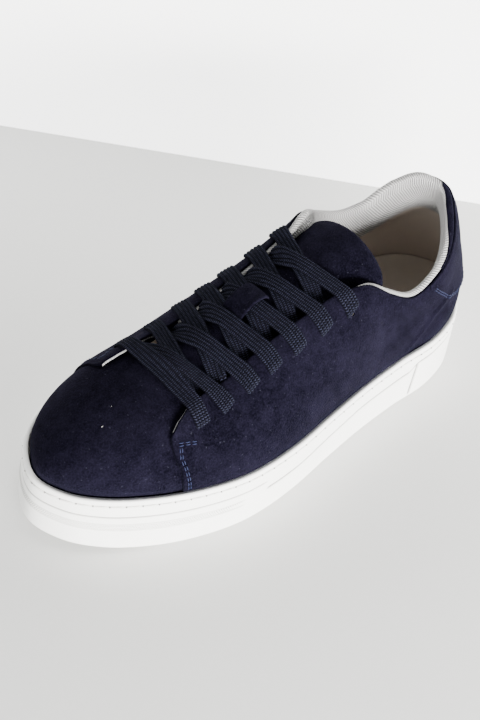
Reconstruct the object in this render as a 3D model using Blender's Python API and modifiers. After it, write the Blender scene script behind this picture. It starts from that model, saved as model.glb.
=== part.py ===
"""Low-top suede sneaker on a rubber cup sole: one left shoe.

Frame: the toe points to -Y, the shoe's own left side to +X, +Z is up. The origin is in the middle of
the floor rectangle. All tables are in millimetres and become metres where meshes are made.
"""
from itertools import product

import bmesh
import bpy
import numpy as np
from mathutils import Vector
from mathutils.bvhtree import BVHTree

MM = 0.001
SHARP_ANGLE = 0.7          # radians between two faces whose edge shows as an edge
UP = Vector((0, 0, 1))

# ---- driving dimensions, mm -------------------------------------------------------------------------
SIDE_STEPS = 35            # segments along each side of the shoe, toe tip to heel tip
CAP_COLUMNS = 8            # faces across the underside and the beds
CURVE_STEPS = 24           # points from one row of the outline to the next, before they are evened
LENGTH = 262.0
FIT_GAP = 0.3              # clearance between pieces that touch

# sole
WALL_DRAFT = 1.2           # how much narrower the side wall is at its rim than at its foot
LIP = 2.3                  # thickness of the wall's rim
TOE_SPRING = 5.2
TOE_SPRING_START = -75.0
HEEL_LIFT = 1.5
HEEL_LIFT_START = 118.0
ARCH_RISE = 2.2            # hollow of the underside at the waist, on the centre line
ARCH_START = -5.0
ARCH_END = 58.0
FOOT_EDGE = 1.6            # radius of the wall's foot
EDGE_CHORD = 0.3           # the middle of that quarter circle, as a share of its radius
RIM_EDGE = 0.4             # bevel of the rim
GROOVE_DEPTH = 0.7
TREAD_DEPTH = 2.5
TREAD_GROOVE = 3.0
TREAD_MARGIN = 8.0
TREAD_FOREFOOT = (-92.0, -12.0, 8)    # first y, last y, number of grooves
TREAD_HEEL = (66.0, 110.0, 5)

# upper
WALL = 2.2                 # suede and lining together
UPPER_LEVELS = 12
RIM_CLEARANCE = 0.6        # height over the sole's rim where the upper starts to curve
INSET = WALL_DRAFT + LIP + FIT_GAP    # upper's outer face, inside the sole's outline
INSOLE_INSET = INSET + WALL + 2 * FIT_GAP

# tongue, insole, laces
TONGUE_THICKNESS = 3.0
TONGUE_STRIPS = 10         # faces across its width
TONGUE_STEEPEST = 0.97     # share of its radius across where it stops bending down
CUP_REACH = 16.0           # how far from the heel end of the insole its turned-up edge has run out
LACE_WIDTH = 8.0
LACE_THICKNESS = 1.8
LACE_GAP = 0.4             # over what it lies on
LACE_STRIPS = 4            # faces across its width
LACE_RUN_POINTS = 13
SUPPORT_REACH = 1.2
ABOVE_ALL = 200.0          # height from which what lies under a lace is looked for
LACE_LIFT = 0.9            # half a thickness, so that two crossing runs join
BAR_LIFT = 0.5             # clears the edges of the first crossing under it
UNDER_END = 0.37           # share of a crossing run that is hidden under the facing or left bare
KEEPER_CENTRE = -3.5
KEEPER_WIDTH = 8.0
KEEPER_STRIPS = 4
KEEPER_THICKNESS = 1.4

# The sole's outline at the floor: y, lateral x (left side), medial x.
TOE_TIP = (-7.0, -131.0)
HEEL_TIP = (-1.5, 131.0)
OUTLINE = (
    # y      lateral  medial
    (-124.5,   9.8,  -24.0),
    (-112.0,  22.2,  -36.2),
    (-94.5,   32.6,  -44.2),
    (-73.0,   41.4,  -47.6),
    (-51.0,   46.8,  -47.4),
    (-34.0,   47.8,  -45.4),
    (-12.0,   46.0,  -41.2),
    (14.0,    41.4,  -36.8),
    (40.0,    37.4,  -34.8),
    (66.0,    34.9,  -34.6),
    (92.0,    33.6,  -34.0),
    (113.5,   26.4,  -27.6),
    (124.5,   15.6,  -18.0),
)

# Heights along the shoe: y, top of the side wall, thickness of the sole under the insole.
SOLE_HEIGHTS = (
    # y      rim    bed
    (-131.0, 35.6, 14.0),
    (-70.0,  33.4, 16.5),
    (0.0,    32.0, 21.5),
    (60.0,   32.6, 24.5),
    (131.0,  34.0, 25.0),
)

# The insole along the shoe: y, its thickness in the middle, how far its edges turn up.
INSOLE_HEIGHTS = (
    # y      thick  edge
    (-131.0,  4.0,  0.0),
    (-20.0,   4.5,  0.0),
    (40.0,    7.0,  2.5),
    (90.0,    9.5,  5.5),
    (131.0,  10.0,  6.0),
)

# Side-wall profile, foot to rim: share of the wall's height, depth of the groove there,
# y where the groove starts and ends.
WALL_RINGS = (
    # share depth  from    to
    (0.25, 0.0, -140.0, 140.0),
    (0.455, 0.0, -140.0, 140.0),
    (0.470, 1.0, -28.0, 140.0),
    (0.485, 0.0, -140.0, 140.0),
    (0.655, 0.0, -140.0, 140.0),
    (0.670, 1.0, -140.0, -16.0),
    (0.685, 0.0, -140.0, 140.0),
    (0.830, 0.0, -140.0, 140.0),
    (0.845, 1.0, -140.0, 140.0),
    (0.865, 1.0, -140.0, 140.0),
    (0.880, 0.0, -140.0, 140.0),
    (0.975, 0.0, -140.0, 140.0),
)

# The upper, one row for each section from the sole's rim up to its top edge. foot: y where the
# section leaves the rim. top: its point on the throat or collar edge. rise and bulge: how far it
# goes up and out as it leaves the rim. shoulder and drop: how far out and down it heads from its top.
UPPER_TOE = (-131.0, -4.0, -66.0, 69.5, 13.0, 1.5, 38.0, 7.0)
UPPER_HEEL = (131.0, -2.0, 110.5, 101.8, 24.0, 2.5, 8.5, 22.0)
UPPER_LATERAL = (
    # foot    top x   top y  top z  rise  bulge shoulder drop
    (-119.0,   4.0,  -66.5,  69.0,  13.0,  1.5,  35.0,   7.0),
    (-100.0,  11.0,  -67.0,  67.5,  13.0,  1.2,  27.0,   6.0),
    (-80.0,   15.5,  -64.0,  66.3,  13.0,  1.0,  16.0,   4.5),
    (-55.0,   16.5,  -48.0,  67.5,  13.0,  1.0,  15.0,   4.5),
    (-22.0,   16.5,  -21.0,  79.0,  17.0,  1.0,  16.0,   6.0),
    (6.0,     17.0,    9.0,  87.5,  22.0,  1.5,  15.0,   8.0),
    (26.0,    18.5,   26.0,  91.0,  24.0,  2.0,  13.0,   9.0),
    (37.0,    22.0,   38.0,  91.0,  24.0,  2.0,   9.0,  12.0),
    (48.0,    27.0,   50.0,  82.8,  20.0,  1.5,   4.0,  14.0),
    (64.0,    29.5,   65.0,  75.3,  16.0,  1.5,   2.5,  14.0),
    (82.0,    28.8,   80.5,  81.5,  18.0,  2.0,   3.0,  16.0),
    (101.0,   23.0,   93.0,  88.5,  20.0,  2.5,   5.0,  18.0),
    (118.0,   11.5,  104.0,  96.5,  22.0,  2.5,   7.0,  20.0),
)
UPPER_MEDIAL = (
    # foot    top x   top y  top z  rise  bulge shoulder drop
    (-119.0, -12.0,  -66.5,  69.0,  13.0,  1.5,  35.0,   7.0),
    (-100.0, -19.0,  -67.5,  67.5,  13.0,  1.2,  26.0,   6.0),
    (-82.0,  -23.0,  -65.0,  66.5,  13.0,  1.0,  16.0,   4.5),
    (-56.0,  -23.5,  -48.0,  68.0,  14.0,  1.0,  15.0,   5.0),
    (-24.0,  -23.8,  -19.0,  76.5,  18.0,  2.0,  16.0,   5.5),
    (6.0,    -24.3,   11.0,  87.0,  24.0,  3.0,  15.0,   7.0),
    (25.0,   -26.5,   29.0,  93.5,  27.0,  3.5,  12.0,   8.0),
    (37.0,   -31.0,   40.5,  94.8,  27.0,  3.0,   7.0,  12.0),
    (50.0,   -33.5,   52.0,  88.0,  24.0,  2.5,   3.0,  15.0),
    (70.0,   -33.0,   71.0,  79.8,  20.0,  1.5,   1.5,  15.0),
    (88.0,   -31.0,   86.0,  80.0,  20.0,  1.5,   2.5,  16.0),
    (104.0,  -26.0,   98.5,  88.0,  20.0,  2.5,   4.0,  18.0),
    (119.0,  -16.0,  106.5,  99.5,  22.0,  2.5,   7.0,  20.0),
)

# The tongue, one row for each place along it: height of its middle, half width, x of its middle,
# and its roundness across.
TONGUE = (
    # y     height  half  middle radius
    (-76.0,  63.2,  17.0,  -3.5,  34.0),
    (-62.0,  67.4,  21.0,  -3.5,  34.0),
    (-48.0,  70.6,  23.0,  -3.5,  34.0),
    (-34.0,  75.0,  23.0,  -3.5,  34.0),
    (-20.0,  80.0,  23.0,  -3.5,  34.0),
    (-5.0,   85.0,  23.0,  -3.5,  34.0),
    (10.0,   89.0,  23.0,  -3.5,  32.0),
    (26.0,    93.2,  23.4,  -2.8,  30.0),
    (37.0,    96.2,  24.5,  -3.2,  31.0),
    (45.0,    98.3,  25.4,  -2.8,  32.0),
    (48.0,    98.9,  25.6,  -2.8,  32.0),
    (49.6,    99.1,  24.0,  -2.8,  32.0),
    (50.3,    99.2,  16.0,  -3.0,  32.0),
)

# Eyelets, one row for each pair from the toe: lateral x and y, medial x and y.
EYELETS = (
    (26.0, -62.5, -33.0, -64.5),
    (26.0, -48.5, -33.0, -46.0),
    (26.0, -34.5, -33.0, -30.0),
    (26.0, -21.5, -32.5, -17.0),
    (26.0,  -7.0, -32.0,  -4.0),
    (26.0,   9.0, -31.5,  11.5),
    (26.0,  25.0, -30.5,  25.5),
)

# The keeper's underside along the tongue: y, height above the tongue.
KEEPER_PROFILE = (
    # y     height
    (-18.6, 0.6),
    (-18.6, 3.3),
    (-17.8, 4.6),
    (-15.6, 5.1),
    (-12.3, 5.2),
    (-9.0,  5.1),
    (-6.8,  4.6),
    (-6.0,  3.3),
    (-6.0,  0.6),
)

# ---- finishes: colour, roughness, metallic -----------------------------------------------------------
NAVY_SUEDE = ((0.020, 0.022, 0.062), 0.95, 0.0)
NAVY_LACE = ((0.012, 0.017, 0.035), 0.8, 0.0)
WHITE_RUBBER = ((0.82, 0.81, 0.78), 0.5, 0.0)
GREY_TEXTILE = ((0.42, 0.40, 0.38), 0.9, 0.0)


# ---- curves -----------------------------------------------------------------------------------------
def through(points, steps):
    """Points along a smooth curve through the given ones (centripetal Catmull-Rom), open ended."""
    nodes = np.array(points, float)
    first = 2 * nodes[0] - nodes[1]
    last = 2 * nodes[-1] - nodes[-2]
    return between(np.vstack([first, nodes, last]), steps)


def around(points, steps):
    """Points along a smooth closed curve through the given ones, the first point not repeated."""
    nodes = np.array(points, float)
    return between(np.vstack([nodes[-1], nodes, nodes[0], nodes[1]]), steps)[:-1]


def between(nodes, steps):
    """Catmull-Rom points between the second and the last but one of the nodes."""
    curve = []
    for a, b, c, d in zip(nodes, nodes[1:], nodes[2:], nodes[3:]):
        ta = 0.0
        tb = ta + np.linalg.norm(b - a) ** 0.5
        tc = tb + np.linalg.norm(c - b) ** 0.5
        td = tc + np.linalg.norm(d - c) ** 0.5
        for t in np.linspace(tb, tc, steps, endpoint=False):
            ab = (a * (tb - t) + b * (t - ta)) / (tb - ta)
            bc = (b * (tc - t) + c * (t - tb)) / (tc - tb)
            cd = (c * (td - t) + d * (t - tc)) / (td - tc)
            abc = (ab * (tc - t) + bc * (t - ta)) / (tc - ta)
            bcd = (bc * (td - t) + cd * (t - tb)) / (td - tb)
            curve.append((abc * (tc - t) + bcd * (t - tb)) / (tc - tb))
    curve.append(nodes[-2])
    return np.array(curve)


def even_steps(curve, count):
    """The curve again, as count + 1 points at equal distances along it."""
    run = np.concatenate([[0.0], np.cumsum(np.linalg.norm(np.diff(curve, axis=0), axis=1))])
    places = np.linspace(0.0, run[-1], count + 1)
    return np.column_stack([np.interp(places, run, column) for column in curve.T])


def smooth_lookup(rows, places):
    """Smooth values at the given places of a table whose first column rises."""
    table = np.array(rows, float)
    slopes = np.gradient(table, table[:, 0], axis=0)
    result = []
    for place in np.atleast_1d(places):
        i = int(np.clip(np.searchsorted(table[:, 0], place) - 1, 0, len(table) - 2))
        span = table[i + 1, 0] - table[i, 0]
        t = float(np.clip((place - table[i, 0]) / span, 0.0, 1.0))
        start = (1 + 2 * t) * (1 - t) ** 2 * table[i] + t * (1 - t) ** 2 * span * slopes[i]
        end = t * t * (3 - 2 * t) * table[i + 1] - t * t * (1 - t) * span * slopes[i + 1]
        result.append(start + end)
    return np.array(result)


# ---- the sole's outline and heights -----------------------------------------------------------------
def outline():
    """The outline at the floor and its inward directions.

    Point 0 is the toe tip, the lateral side comes first, point SIDE_STEPS is the heel tip.
    """
    lateral = [(row[1], row[0]) for row in OUTLINE]
    medial = [(row[2], row[0]) for row in reversed(OUTLINE)]
    loop = around([TOE_TIP] + lateral + [HEEL_TIP] + medial, CURVE_STEPS)
    heel = CURVE_STEPS * (len(lateral) + 1)
    closed = np.vstack([loop, loop[:1]])
    sides = [even_steps(closed[:heel + 1], SIDE_STEPS), even_steps(closed[heel:], SIDE_STEPS)]
    points = np.vstack([sides[0][:-1], sides[1][:-1]])
    ahead = np.roll(points, -1, axis=0) - np.roll(points, 1, axis=0)
    inward = np.column_stack([-ahead[:, 1], ahead[:, 0]])
    return points, inward / np.linalg.norm(inward, axis=1)[:, None]


POINTS, INWARD = outline()


def inset(distance):
    """The outline moved inwards by a distance, or by one distance for each point."""
    return POINTS + INWARD * np.asarray(distance).reshape(-1, 1)


def rim_height(y):
    """Top of the sole's side wall."""
    return smooth_lookup(SOLE_HEIGHTS, y)[:, 1]


def floor_height(y, centre=0.0):
    """Underside of the sole: toe spring, heel lift and, towards the centre line, the arch."""
    y = np.atleast_1d(np.asarray(y, float))
    spring = TOE_SPRING * np.clip((TOE_SPRING_START - y) / (LENGTH / 2 + TOE_SPRING_START), 0, 1) ** 2
    lift = HEEL_LIFT * np.clip((y - HEEL_LIFT_START) / (LENGTH / 2 - HEEL_LIFT_START), 0, 1) ** 2
    along = np.clip((y - ARCH_START) / (ARCH_END - ARCH_START), 0, 1)
    return spring + lift + centre * ARCH_RISE * np.sin(np.pi * along) ** 2


def bed_height(y):
    """Top of the rubber under the insole."""
    return floor_height(y) + smooth_lookup(SOLE_HEIGHTS, y)[:, 2]


# ---- mesh helpers -----------------------------------------------------------------------------------
def new_object(name, mesh, collection, finish):
    """Put a mesh in a collection, with its own material and smooth shading."""
    colour, roughness, metallic = finish
    obj = bpy.data.objects.new(name, mesh)
    collection.objects.link(obj)
    material = bpy.data.materials.new(name + "_material")
    material.use_nodes = True
    shader = material.node_tree.nodes["Principled BSDF"]
    shader.inputs["Base Color"].default_value = (*colour, 1.0)
    shader.inputs["Roughness"].default_value = roughness
    shader.inputs["Metallic"].default_value = metallic
    mesh.materials.append(material)
    mesh.shade_smooth()
    mesh.set_sharp_from_angle(angle=SHARP_ANGLE)
    return obj


def add_ring(bm, xy, z):
    """A ring of vertices, given in millimetres."""
    heights = np.broadcast_to(z, (len(xy),))
    return [bm.verts.new((x * MM, y * MM, h * MM)) for (x, y), h in zip(xy, heights)]


def bridge(bm, lower, upper, closed=True):
    """Quads between two rows of vertices; they face out when the rows run with the outline."""
    count = len(lower)
    for i in range(count if closed else count - 1):
        j = (i + 1) % count
        bm.faces.new((lower[i], lower[j], upper[j], upper[i]))


def cap(bm, ring, height):
    """Close a ring with rows of quads from side to side, at the heights of height(y, centre)."""
    rows = []
    for i in range(1, SIDE_STEPS):
        left = ring[i]
        right = ring[-i]
        row = [left]
        for share in np.linspace(0, 1, CAP_COLUMNS + 1)[1:-1]:
            place = left.co.lerp(right.co, share)
            centre = np.sin(np.pi * share)
            place.z = float(height(place.y / MM, centre)[0]) * MM
            row.append(bm.verts.new(place))
        row.append(right)
        rows.append(row)
    for tip, row in ((ring[0], rows[0]), (ring[SIDE_STEPS], rows[-1])):
        for a, b in zip(row, row[1:]):
            bm.faces.new((tip, a, b))
    for near, far in zip(rows, rows[1:]):
        bridge(bm, near, far, closed=False)


def mesh_from(bm, name, outward=None):
    """Turn a bmesh into a mesh. A closed one faces out; an open one faces the outward direction."""
    bmesh.ops.recalc_face_normals(bm, faces=bm.faces)
    bm.normal_update()
    if outward is not None and sum(face.normal.dot(outward) for face in bm.faces) < 0:
        bmesh.ops.reverse_faces(bm, faces=bm.faces)
    mesh = bpy.data.meshes.new(name)
    bm.to_mesh(mesh)
    bm.free()
    return mesh


def add_solidify(obj, thickness, offset=-1.0):
    """Give an open surface its thickness; offset -1 grows it against its normals."""
    shell = obj.modifiers.new("thickness", "SOLIDIFY")
    shell.thickness = thickness * MM
    shell.offset = offset
    shell.use_even_offset = True
    shell.use_quality_normals = True


def upward_surface(name, rows):
    """An open surface from rows of points in millimetres, its top face up."""
    bm = bmesh.new()
    grid = [[bm.verts.new(Vector(point) * MM) for point in row] for row in rows]
    for near, far in zip(grid, grid[1:]):
        bridge(bm, near, far, closed=False)
    return mesh_from(bm, name, UP)


def new_cutter(name, mesh, collection):
    """A shape that another object's Boolean uses, which isn't a part itself."""
    cutter = bpy.data.objects.new(name, mesh)
    collection.objects.link(cutter)
    cutter.hide_render = True
    cutter.display_type = "WIRE"
    return cutter


def add_boolean(obj, operation, other):
    """Cut an object by another, or join the two."""
    boolean = obj.modifiers.new(operation.lower(), "BOOLEAN")
    boolean.operation = operation
    boolean.solver = "EXACT"
    boolean.object = other


def evaluated_mesh(obj):
    """A copy of the object's mesh with its modifiers applied."""
    graph = bpy.context.evaluated_depsgraph_get()
    graph.update()
    return bpy.data.meshes.new_from_object(obj.evaluated_get(graph))


# ---- sole -------------------------------------------------------------------------------------------
def make_sole(parts, cutters):
    """The cup: underside, side wall with its grooves, lip, and the bed that the insole lies on."""
    bm = bmesh.new()
    y = POINTS[:, 1]
    floor = floor_height(y)
    rim = rim_height(y)
    inner = inset(WALL_DRAFT + LIP)
    underside = inset(FOOT_EDGE)
    rings = [
        add_ring(bm, underside, floor_height(underside[:, 1])),
        add_ring(bm, inset(FOOT_EDGE * EDGE_CHORD), floor + FOOT_EDGE * EDGE_CHORD),
        add_ring(bm, inset(0.0), floor + FOOT_EDGE),
    ]
    for share, depth, start, end in WALL_RINGS:
        grooved = depth * GROOVE_DEPTH * ((y > start) & (y < end))
        height = floor + FOOT_EDGE + share * (rim - floor - FOOT_EDGE)
        rings.append(add_ring(bm, inset(share * WALL_DRAFT + grooved), height))
    rings.append(add_ring(bm, inset(WALL_DRAFT + RIM_EDGE), rim))
    rings.append(add_ring(bm, inner, rim))
    rings.append(add_ring(bm, inner, bed_height(inner[:, 1])))
    for lower, upper in zip(rings, rings[1:]):
        bridge(bm, lower, upper)
    cap(bm, rings[0], floor_height)
    cap(bm, rings[-1], lambda place, centre: bed_height(place))
    sole = new_object("sole", mesh_from(bm, "sole"), parts, WHITE_RUBBER)
    add_boolean(sole, "DIFFERENCE", make_tread_cutter(cutters))


def make_tread_cutter(cutters):
    """Bars across the underside that leave lugs between them and a smooth border round them."""
    bm = bmesh.new()
    for start, end, count in (TREAD_FOREFOOT, TREAD_HEEL):
        for y in np.linspace(start, end, count):
            _, lateral, medial = smooth_lookup(OUTLINE, y)[0]
            width = lateral - medial - 2 * TREAD_MARGIN
            bar = bmesh.ops.create_cube(bm, size=1.0)["verts"]
            base = float(floor_height(y)[0])
            bmesh.ops.scale(bm, verts=bar, vec=Vector((width, TREAD_GROOVE, 2 * TREAD_DEPTH)) * MM)
            bmesh.ops.translate(bm, verts=bar, vec=Vector(((lateral + medial) / 2, y, base)) * MM)
    return new_cutter("tread_cutter", mesh_from(bm, "tread_cutter"), cutters)


# ---- upper ------------------------------------------------------------------------------------------
def side_place(foot, side):
    """Where a side of the outline passes a given y, as a point number."""
    first, last = (0, SIDE_STEPS) if side > 0 else (2 * SIDE_STEPS, SIDE_STEPS)
    numbers = np.linspace(first, last, SIDE_STEPS + 1)
    y = inset(INSET)[numbers.astype(int) % (2 * SIDE_STEPS), 1]
    return float(np.interp(foot, y, numbers))


def upper_sections():
    """The section table's values at every point of the outline."""
    rows = [(0.0, *UPPER_TOE[1:])]
    rows += [(side_place(row[0], 1), *row[1:]) for row in UPPER_LATERAL]
    rows += [(float(SIDE_STEPS), *UPPER_HEEL[1:])]
    rows += [(side_place(row[0], -1), *row[1:]) for row in reversed(UPPER_MEDIAL)]
    total = 2 * SIDE_STEPS
    before = [(row[0] - total, *row[1:]) for row in rows[-2:]]
    after = [(row[0] + total, *row[1:]) for row in rows[:3]]
    return smooth_lookup(before + rows + after, np.arange(total))[:, 1:]


def upper_grid(sections):
    """Rows of points from the upper's lower edge, inside the cup, to its top edge."""
    foot_xy = inset(INSET)
    y = foot_xy[:, 1]
    top = sections[:, :3]
    rise, bulge, shoulder, drop = sections[:, 3:].T
    rim = np.column_stack([foot_xy, rim_height(y) + RIM_CLEARANCE])
    outward = -np.column_stack([INWARD, np.zeros(len(INWARD))])
    away = rim - top
    away[:, 2] = 0.0
    away /= np.linalg.norm(away, axis=1)[:, None]
    up = np.array([0.0, 0.0, 1.0])
    leave = rim + up * rise[:, None] + outward * bulge[:, None]
    arrive = top + away * shoulder[:, None] - up * drop[:, None]
    rows = [np.column_stack([foot_xy, bed_height(y) + FIT_GAP])]
    for t in np.linspace(0, 1, UPPER_LEVELS):
        s = 1 - t
        rows.append(s ** 3 * rim + 3 * s * s * t * leave + 3 * s * t * t * arrive + t ** 3 * top)
    return rows


def make_upper(parts):
    """Vamp, quarters and heel as one open shell with its wall thickness."""
    bm = bmesh.new()
    rings = [[bm.verts.new(Vector(point) * MM) for point in row] for row in upper_grid(upper_sections())]
    for lower, higher in zip(rings, rings[1:]):
        bridge(bm, lower, higher)
    mesh = bpy.data.meshes.new("upper")
    bm.to_mesh(mesh)
    bm.free()
    upper = new_object("upper", mesh, parts, NAVY_SUEDE)
    add_solidify(upper, WALL)
    return upper


# ---- insole and tongue ------------------------------------------------------------------------------
def insole_height(y, centre):
    """Top face of the insole: thicker towards the heel, where its edge also turns up."""
    y = np.atleast_1d(np.asarray(y, float))
    _, thickness, edge = smooth_lookup(INSOLE_HEIGHTS, y).T
    away = np.clip((LENGTH / 2 - INSOLE_INSET - y) / CUP_REACH, 0, 1)
    return bed_height(y) + FIT_GAP + thickness + edge * (1 - centre * away) ** 2


def make_insole(parts):
    """The footbed, lying on the sole's bed inside the upper."""
    bm = bmesh.new()
    xy = inset(INSOLE_INSET)
    bottom = add_ring(bm, xy, bed_height(xy[:, 1]) + FIT_GAP)
    top = add_ring(bm, xy, insole_height(xy[:, 1], 0.0))
    bridge(bm, bottom, top)
    cap(bm, bottom, lambda place, centre: bed_height(place) + FIT_GAP)
    cap(bm, top, insole_height)
    new_object("insole", mesh_from(bm, "insole"), parts, GREY_TEXTILE)


def tongue_height(x, y):
    """Top face of the tongue above a place."""
    _, height, _, middle, radius = smooth_lookup(TONGUE, y)[0]
    across = min(abs(x - middle), radius * TONGUE_STEEPEST)
    return height - radius + (radius ** 2 - across ** 2) ** 0.5


def make_tongue(parts):
    """A padded sheet, round across, from under the vamp to above the top eyelets."""
    rows = []
    for y, _, half, middle, _ in through(TONGUE, 2):
        places = middle + half * np.linspace(-1, 1, TONGUE_STRIPS + 1)
        rows.append([(x, y, tongue_height(x, y)) for x in places])
    tongue = new_object("tongue", upward_surface("tongue", rows), parts, NAVY_SUEDE)
    add_solidify(tongue, TONGUE_THICKNESS)
    return tongue


# ---- laces ------------------------------------------------------------------------------------------
class Support:
    """What the laces lie on: heights of the upper and tongue seen from above."""

    def __init__(self, objects):
        self.trees = []
        for obj in objects:
            mesh = evaluated_mesh(obj)
            corners = [vertex.co.copy() for vertex in mesh.vertices]
            faces = [tuple(polygon.vertices) for polygon in mesh.polygons]
            self.trees.append(BVHTree.FromPolygons(corners, faces))
            bpy.data.meshes.remove(mesh)

    def height(self, x, y):
        """The highest point at a place and up to SUPPORT_REACH around it."""
        found = []
        for dx, dy in product((-SUPPORT_REACH, 0.0, SUPPORT_REACH), repeat=2):
            above = Vector((x + dx, y + dy, ABOVE_ALL)) * MM
            for tree in self.trees:
                hit = tree.ray_cast(above, -UP)[0]
                if hit is not None:
                    found.append(hit.z / MM)
        return max(found)


def pulled_tight(run, heights):
    """Heights of a tight strap over the given ones: the upper hull along the run."""
    hull = []
    for place in zip(run, heights):
        while len(hull) > 1:
            (ax, az), (bx, bz) = hull[-2:]
            if (bx - ax) * (place[1] - az) < (bz - az) * (place[0] - ax):
                break
            hull.pop()
        hull.append(place)
    places, levels = zip(*hull)
    return np.interp(run, places, levels)


def lace_run(name, support, start, end, lift):
    """One flat run of lace between two places, pulled tight over what lies under it."""
    start = np.array(start, float)
    end = np.array(end, float)
    along = (end - start) / np.linalg.norm(end - start)
    side = np.array([-along[1], along[0]])
    shares = np.linspace(0, 1, LACE_RUN_POINTS)
    rows = []
    for offset in np.linspace(-LACE_WIDTH / 2, LACE_WIDTH / 2, LACE_STRIPS + 1):
        places = start + shares[:, None] * (end - start) + side * offset
        heights = [support.height(x, y) for x, y in places]
        tight = pulled_tight(shares, heights) + LACE_GAP + lift
        rows.append(np.column_stack([places, tight]))
    run = bpy.data.objects.new(name, upward_surface(name, rows))
    bpy.context.scene.collection.objects.link(run)
    add_solidify(run, LACE_THICKNESS, offset=1.0)
    solid = evaluated_mesh(run)
    bpy.data.objects.remove(run)
    return solid


def make_laces(parts, cutters, support):
    """A crossing between each two pairs of eyelets."""
    for number, (low, high) in enumerate(zip(EYELETS, EYELETS[1:]), 1):
        lateral_low, medial_low = np.array(low[:2]), np.array(low[2:])
        lateral_high, medial_high = np.array(high[:2]), np.array(high[2:])
        under_start = lateral_low + (medial_high - lateral_low) * UNDER_END
        over_start = medial_low + (lateral_high - medial_low) * UNDER_END
        name = f"lace_crossing_{number}"
        under = lace_run(name, support, under_start, medial_high, 0.0)
        over = lace_run(name + "_over", support, over_start, lateral_high, LACE_LIFT)
        crossing = new_object(name, under, parts, NAVY_LACE)
        add_boolean(crossing, "UNION", new_cutter(name + "_over", over, cutters))


def make_bar(parts, support):
    """The straight bar on the lowest pair, over the ends of the first crossing."""
    lateral, medial = EYELETS[0][:2], EYELETS[0][2:]
    bar = lace_run("lace_bar", support, medial, lateral, BAR_LIFT)
    new_object("lace_bar", bar, parts, NAVY_LACE)


def make_keeper(parts):
    """The suede bridge on the tongue that the fourth crossing passes under."""
    rows = []
    for y, height in KEEPER_PROFILE:
        places = KEEPER_CENTRE + KEEPER_WIDTH * np.linspace(-0.5, 0.5, KEEPER_STRIPS + 1)
        rows.append([(x, y, tongue_height(x, y) + height) for x in places])
    keeper = new_object("lace_keeper", upward_surface("lace_keeper", rows), parts, NAVY_SUEDE)
    add_solidify(keeper, KEEPER_THICKNESS, offset=1.0)


# ---- assembly ---------------------------------------------------------------------------------------
def main():
    for obj in list(bpy.data.objects):
        bpy.data.objects.remove(obj)
    parts = bpy.data.collections.new("suede_sneaker")
    cutters = bpy.data.collections.new("cutters")
    for collection in (parts, cutters):
        bpy.context.scene.collection.children.link(collection)
    make_sole(parts, cutters)
    upper = make_upper(parts)
    make_insole(parts)
    tongue = make_tongue(parts)
    make_laces(parts, cutters, Support([upper, tongue]))
    make_bar(parts, Support([upper, tongue, parts.objects["lace_crossing_1"]]))
    make_keeper(parts)


main()
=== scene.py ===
"""Visual model of a left low-top sneaker: navy suede on a thick white rubber cup sole.

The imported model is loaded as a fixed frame. Shapes are worked out in millimetres in the frame's own axes
(toe towards -Y, the shoe's outer side towards +X, +Z up) and become metres where meshes are made.
"""
import logging
import math
from dataclasses import dataclass, replace
from enum import Enum
from functools import cached_property
from itertools import product
from typing import Callable, Sequence

import bmesh
import bpy
import numpy as np
from mathutils import Matrix, Vector
from mathutils.bvhtree import BVHTree
from mathutils.kdtree import KDTree


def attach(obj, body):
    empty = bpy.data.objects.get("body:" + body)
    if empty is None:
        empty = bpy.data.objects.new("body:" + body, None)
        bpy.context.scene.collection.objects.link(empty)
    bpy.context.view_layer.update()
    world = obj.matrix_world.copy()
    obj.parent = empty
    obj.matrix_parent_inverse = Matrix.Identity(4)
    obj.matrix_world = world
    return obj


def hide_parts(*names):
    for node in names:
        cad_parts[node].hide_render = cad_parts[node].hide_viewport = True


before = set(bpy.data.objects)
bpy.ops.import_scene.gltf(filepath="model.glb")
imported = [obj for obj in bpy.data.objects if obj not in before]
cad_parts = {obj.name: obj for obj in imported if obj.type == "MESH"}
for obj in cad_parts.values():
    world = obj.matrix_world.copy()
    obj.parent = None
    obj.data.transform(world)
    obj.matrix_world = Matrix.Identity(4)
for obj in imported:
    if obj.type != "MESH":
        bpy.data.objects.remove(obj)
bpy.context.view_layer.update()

MM = 0.001
BODY = "root"
SEED = 7
UP = np.array([0.0, 0.0, 1.0])
# Millimetres: where rays start from above the shoe, the height given where they meet nothing, how far a
# punch reaches on each side of the suede, and how far two rows of stitches lie beside their line.
OVERHEAD = 200.0
NOTHING_THERE = -1e3
PUNCH_REACH = 6.0
TWO_ROWS = (-0.55, 0.55)

log = logging.getLogger("sneaker")
Array = np.ndarray
Rows = Sequence[Sequence[float]]
Piece = bpy.types.Object
Pair = tuple[float, float]
Arrays = tuple[Array, ...]
Place = tuple[float, float, float]
Colour = tuple[float, float, float]

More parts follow.
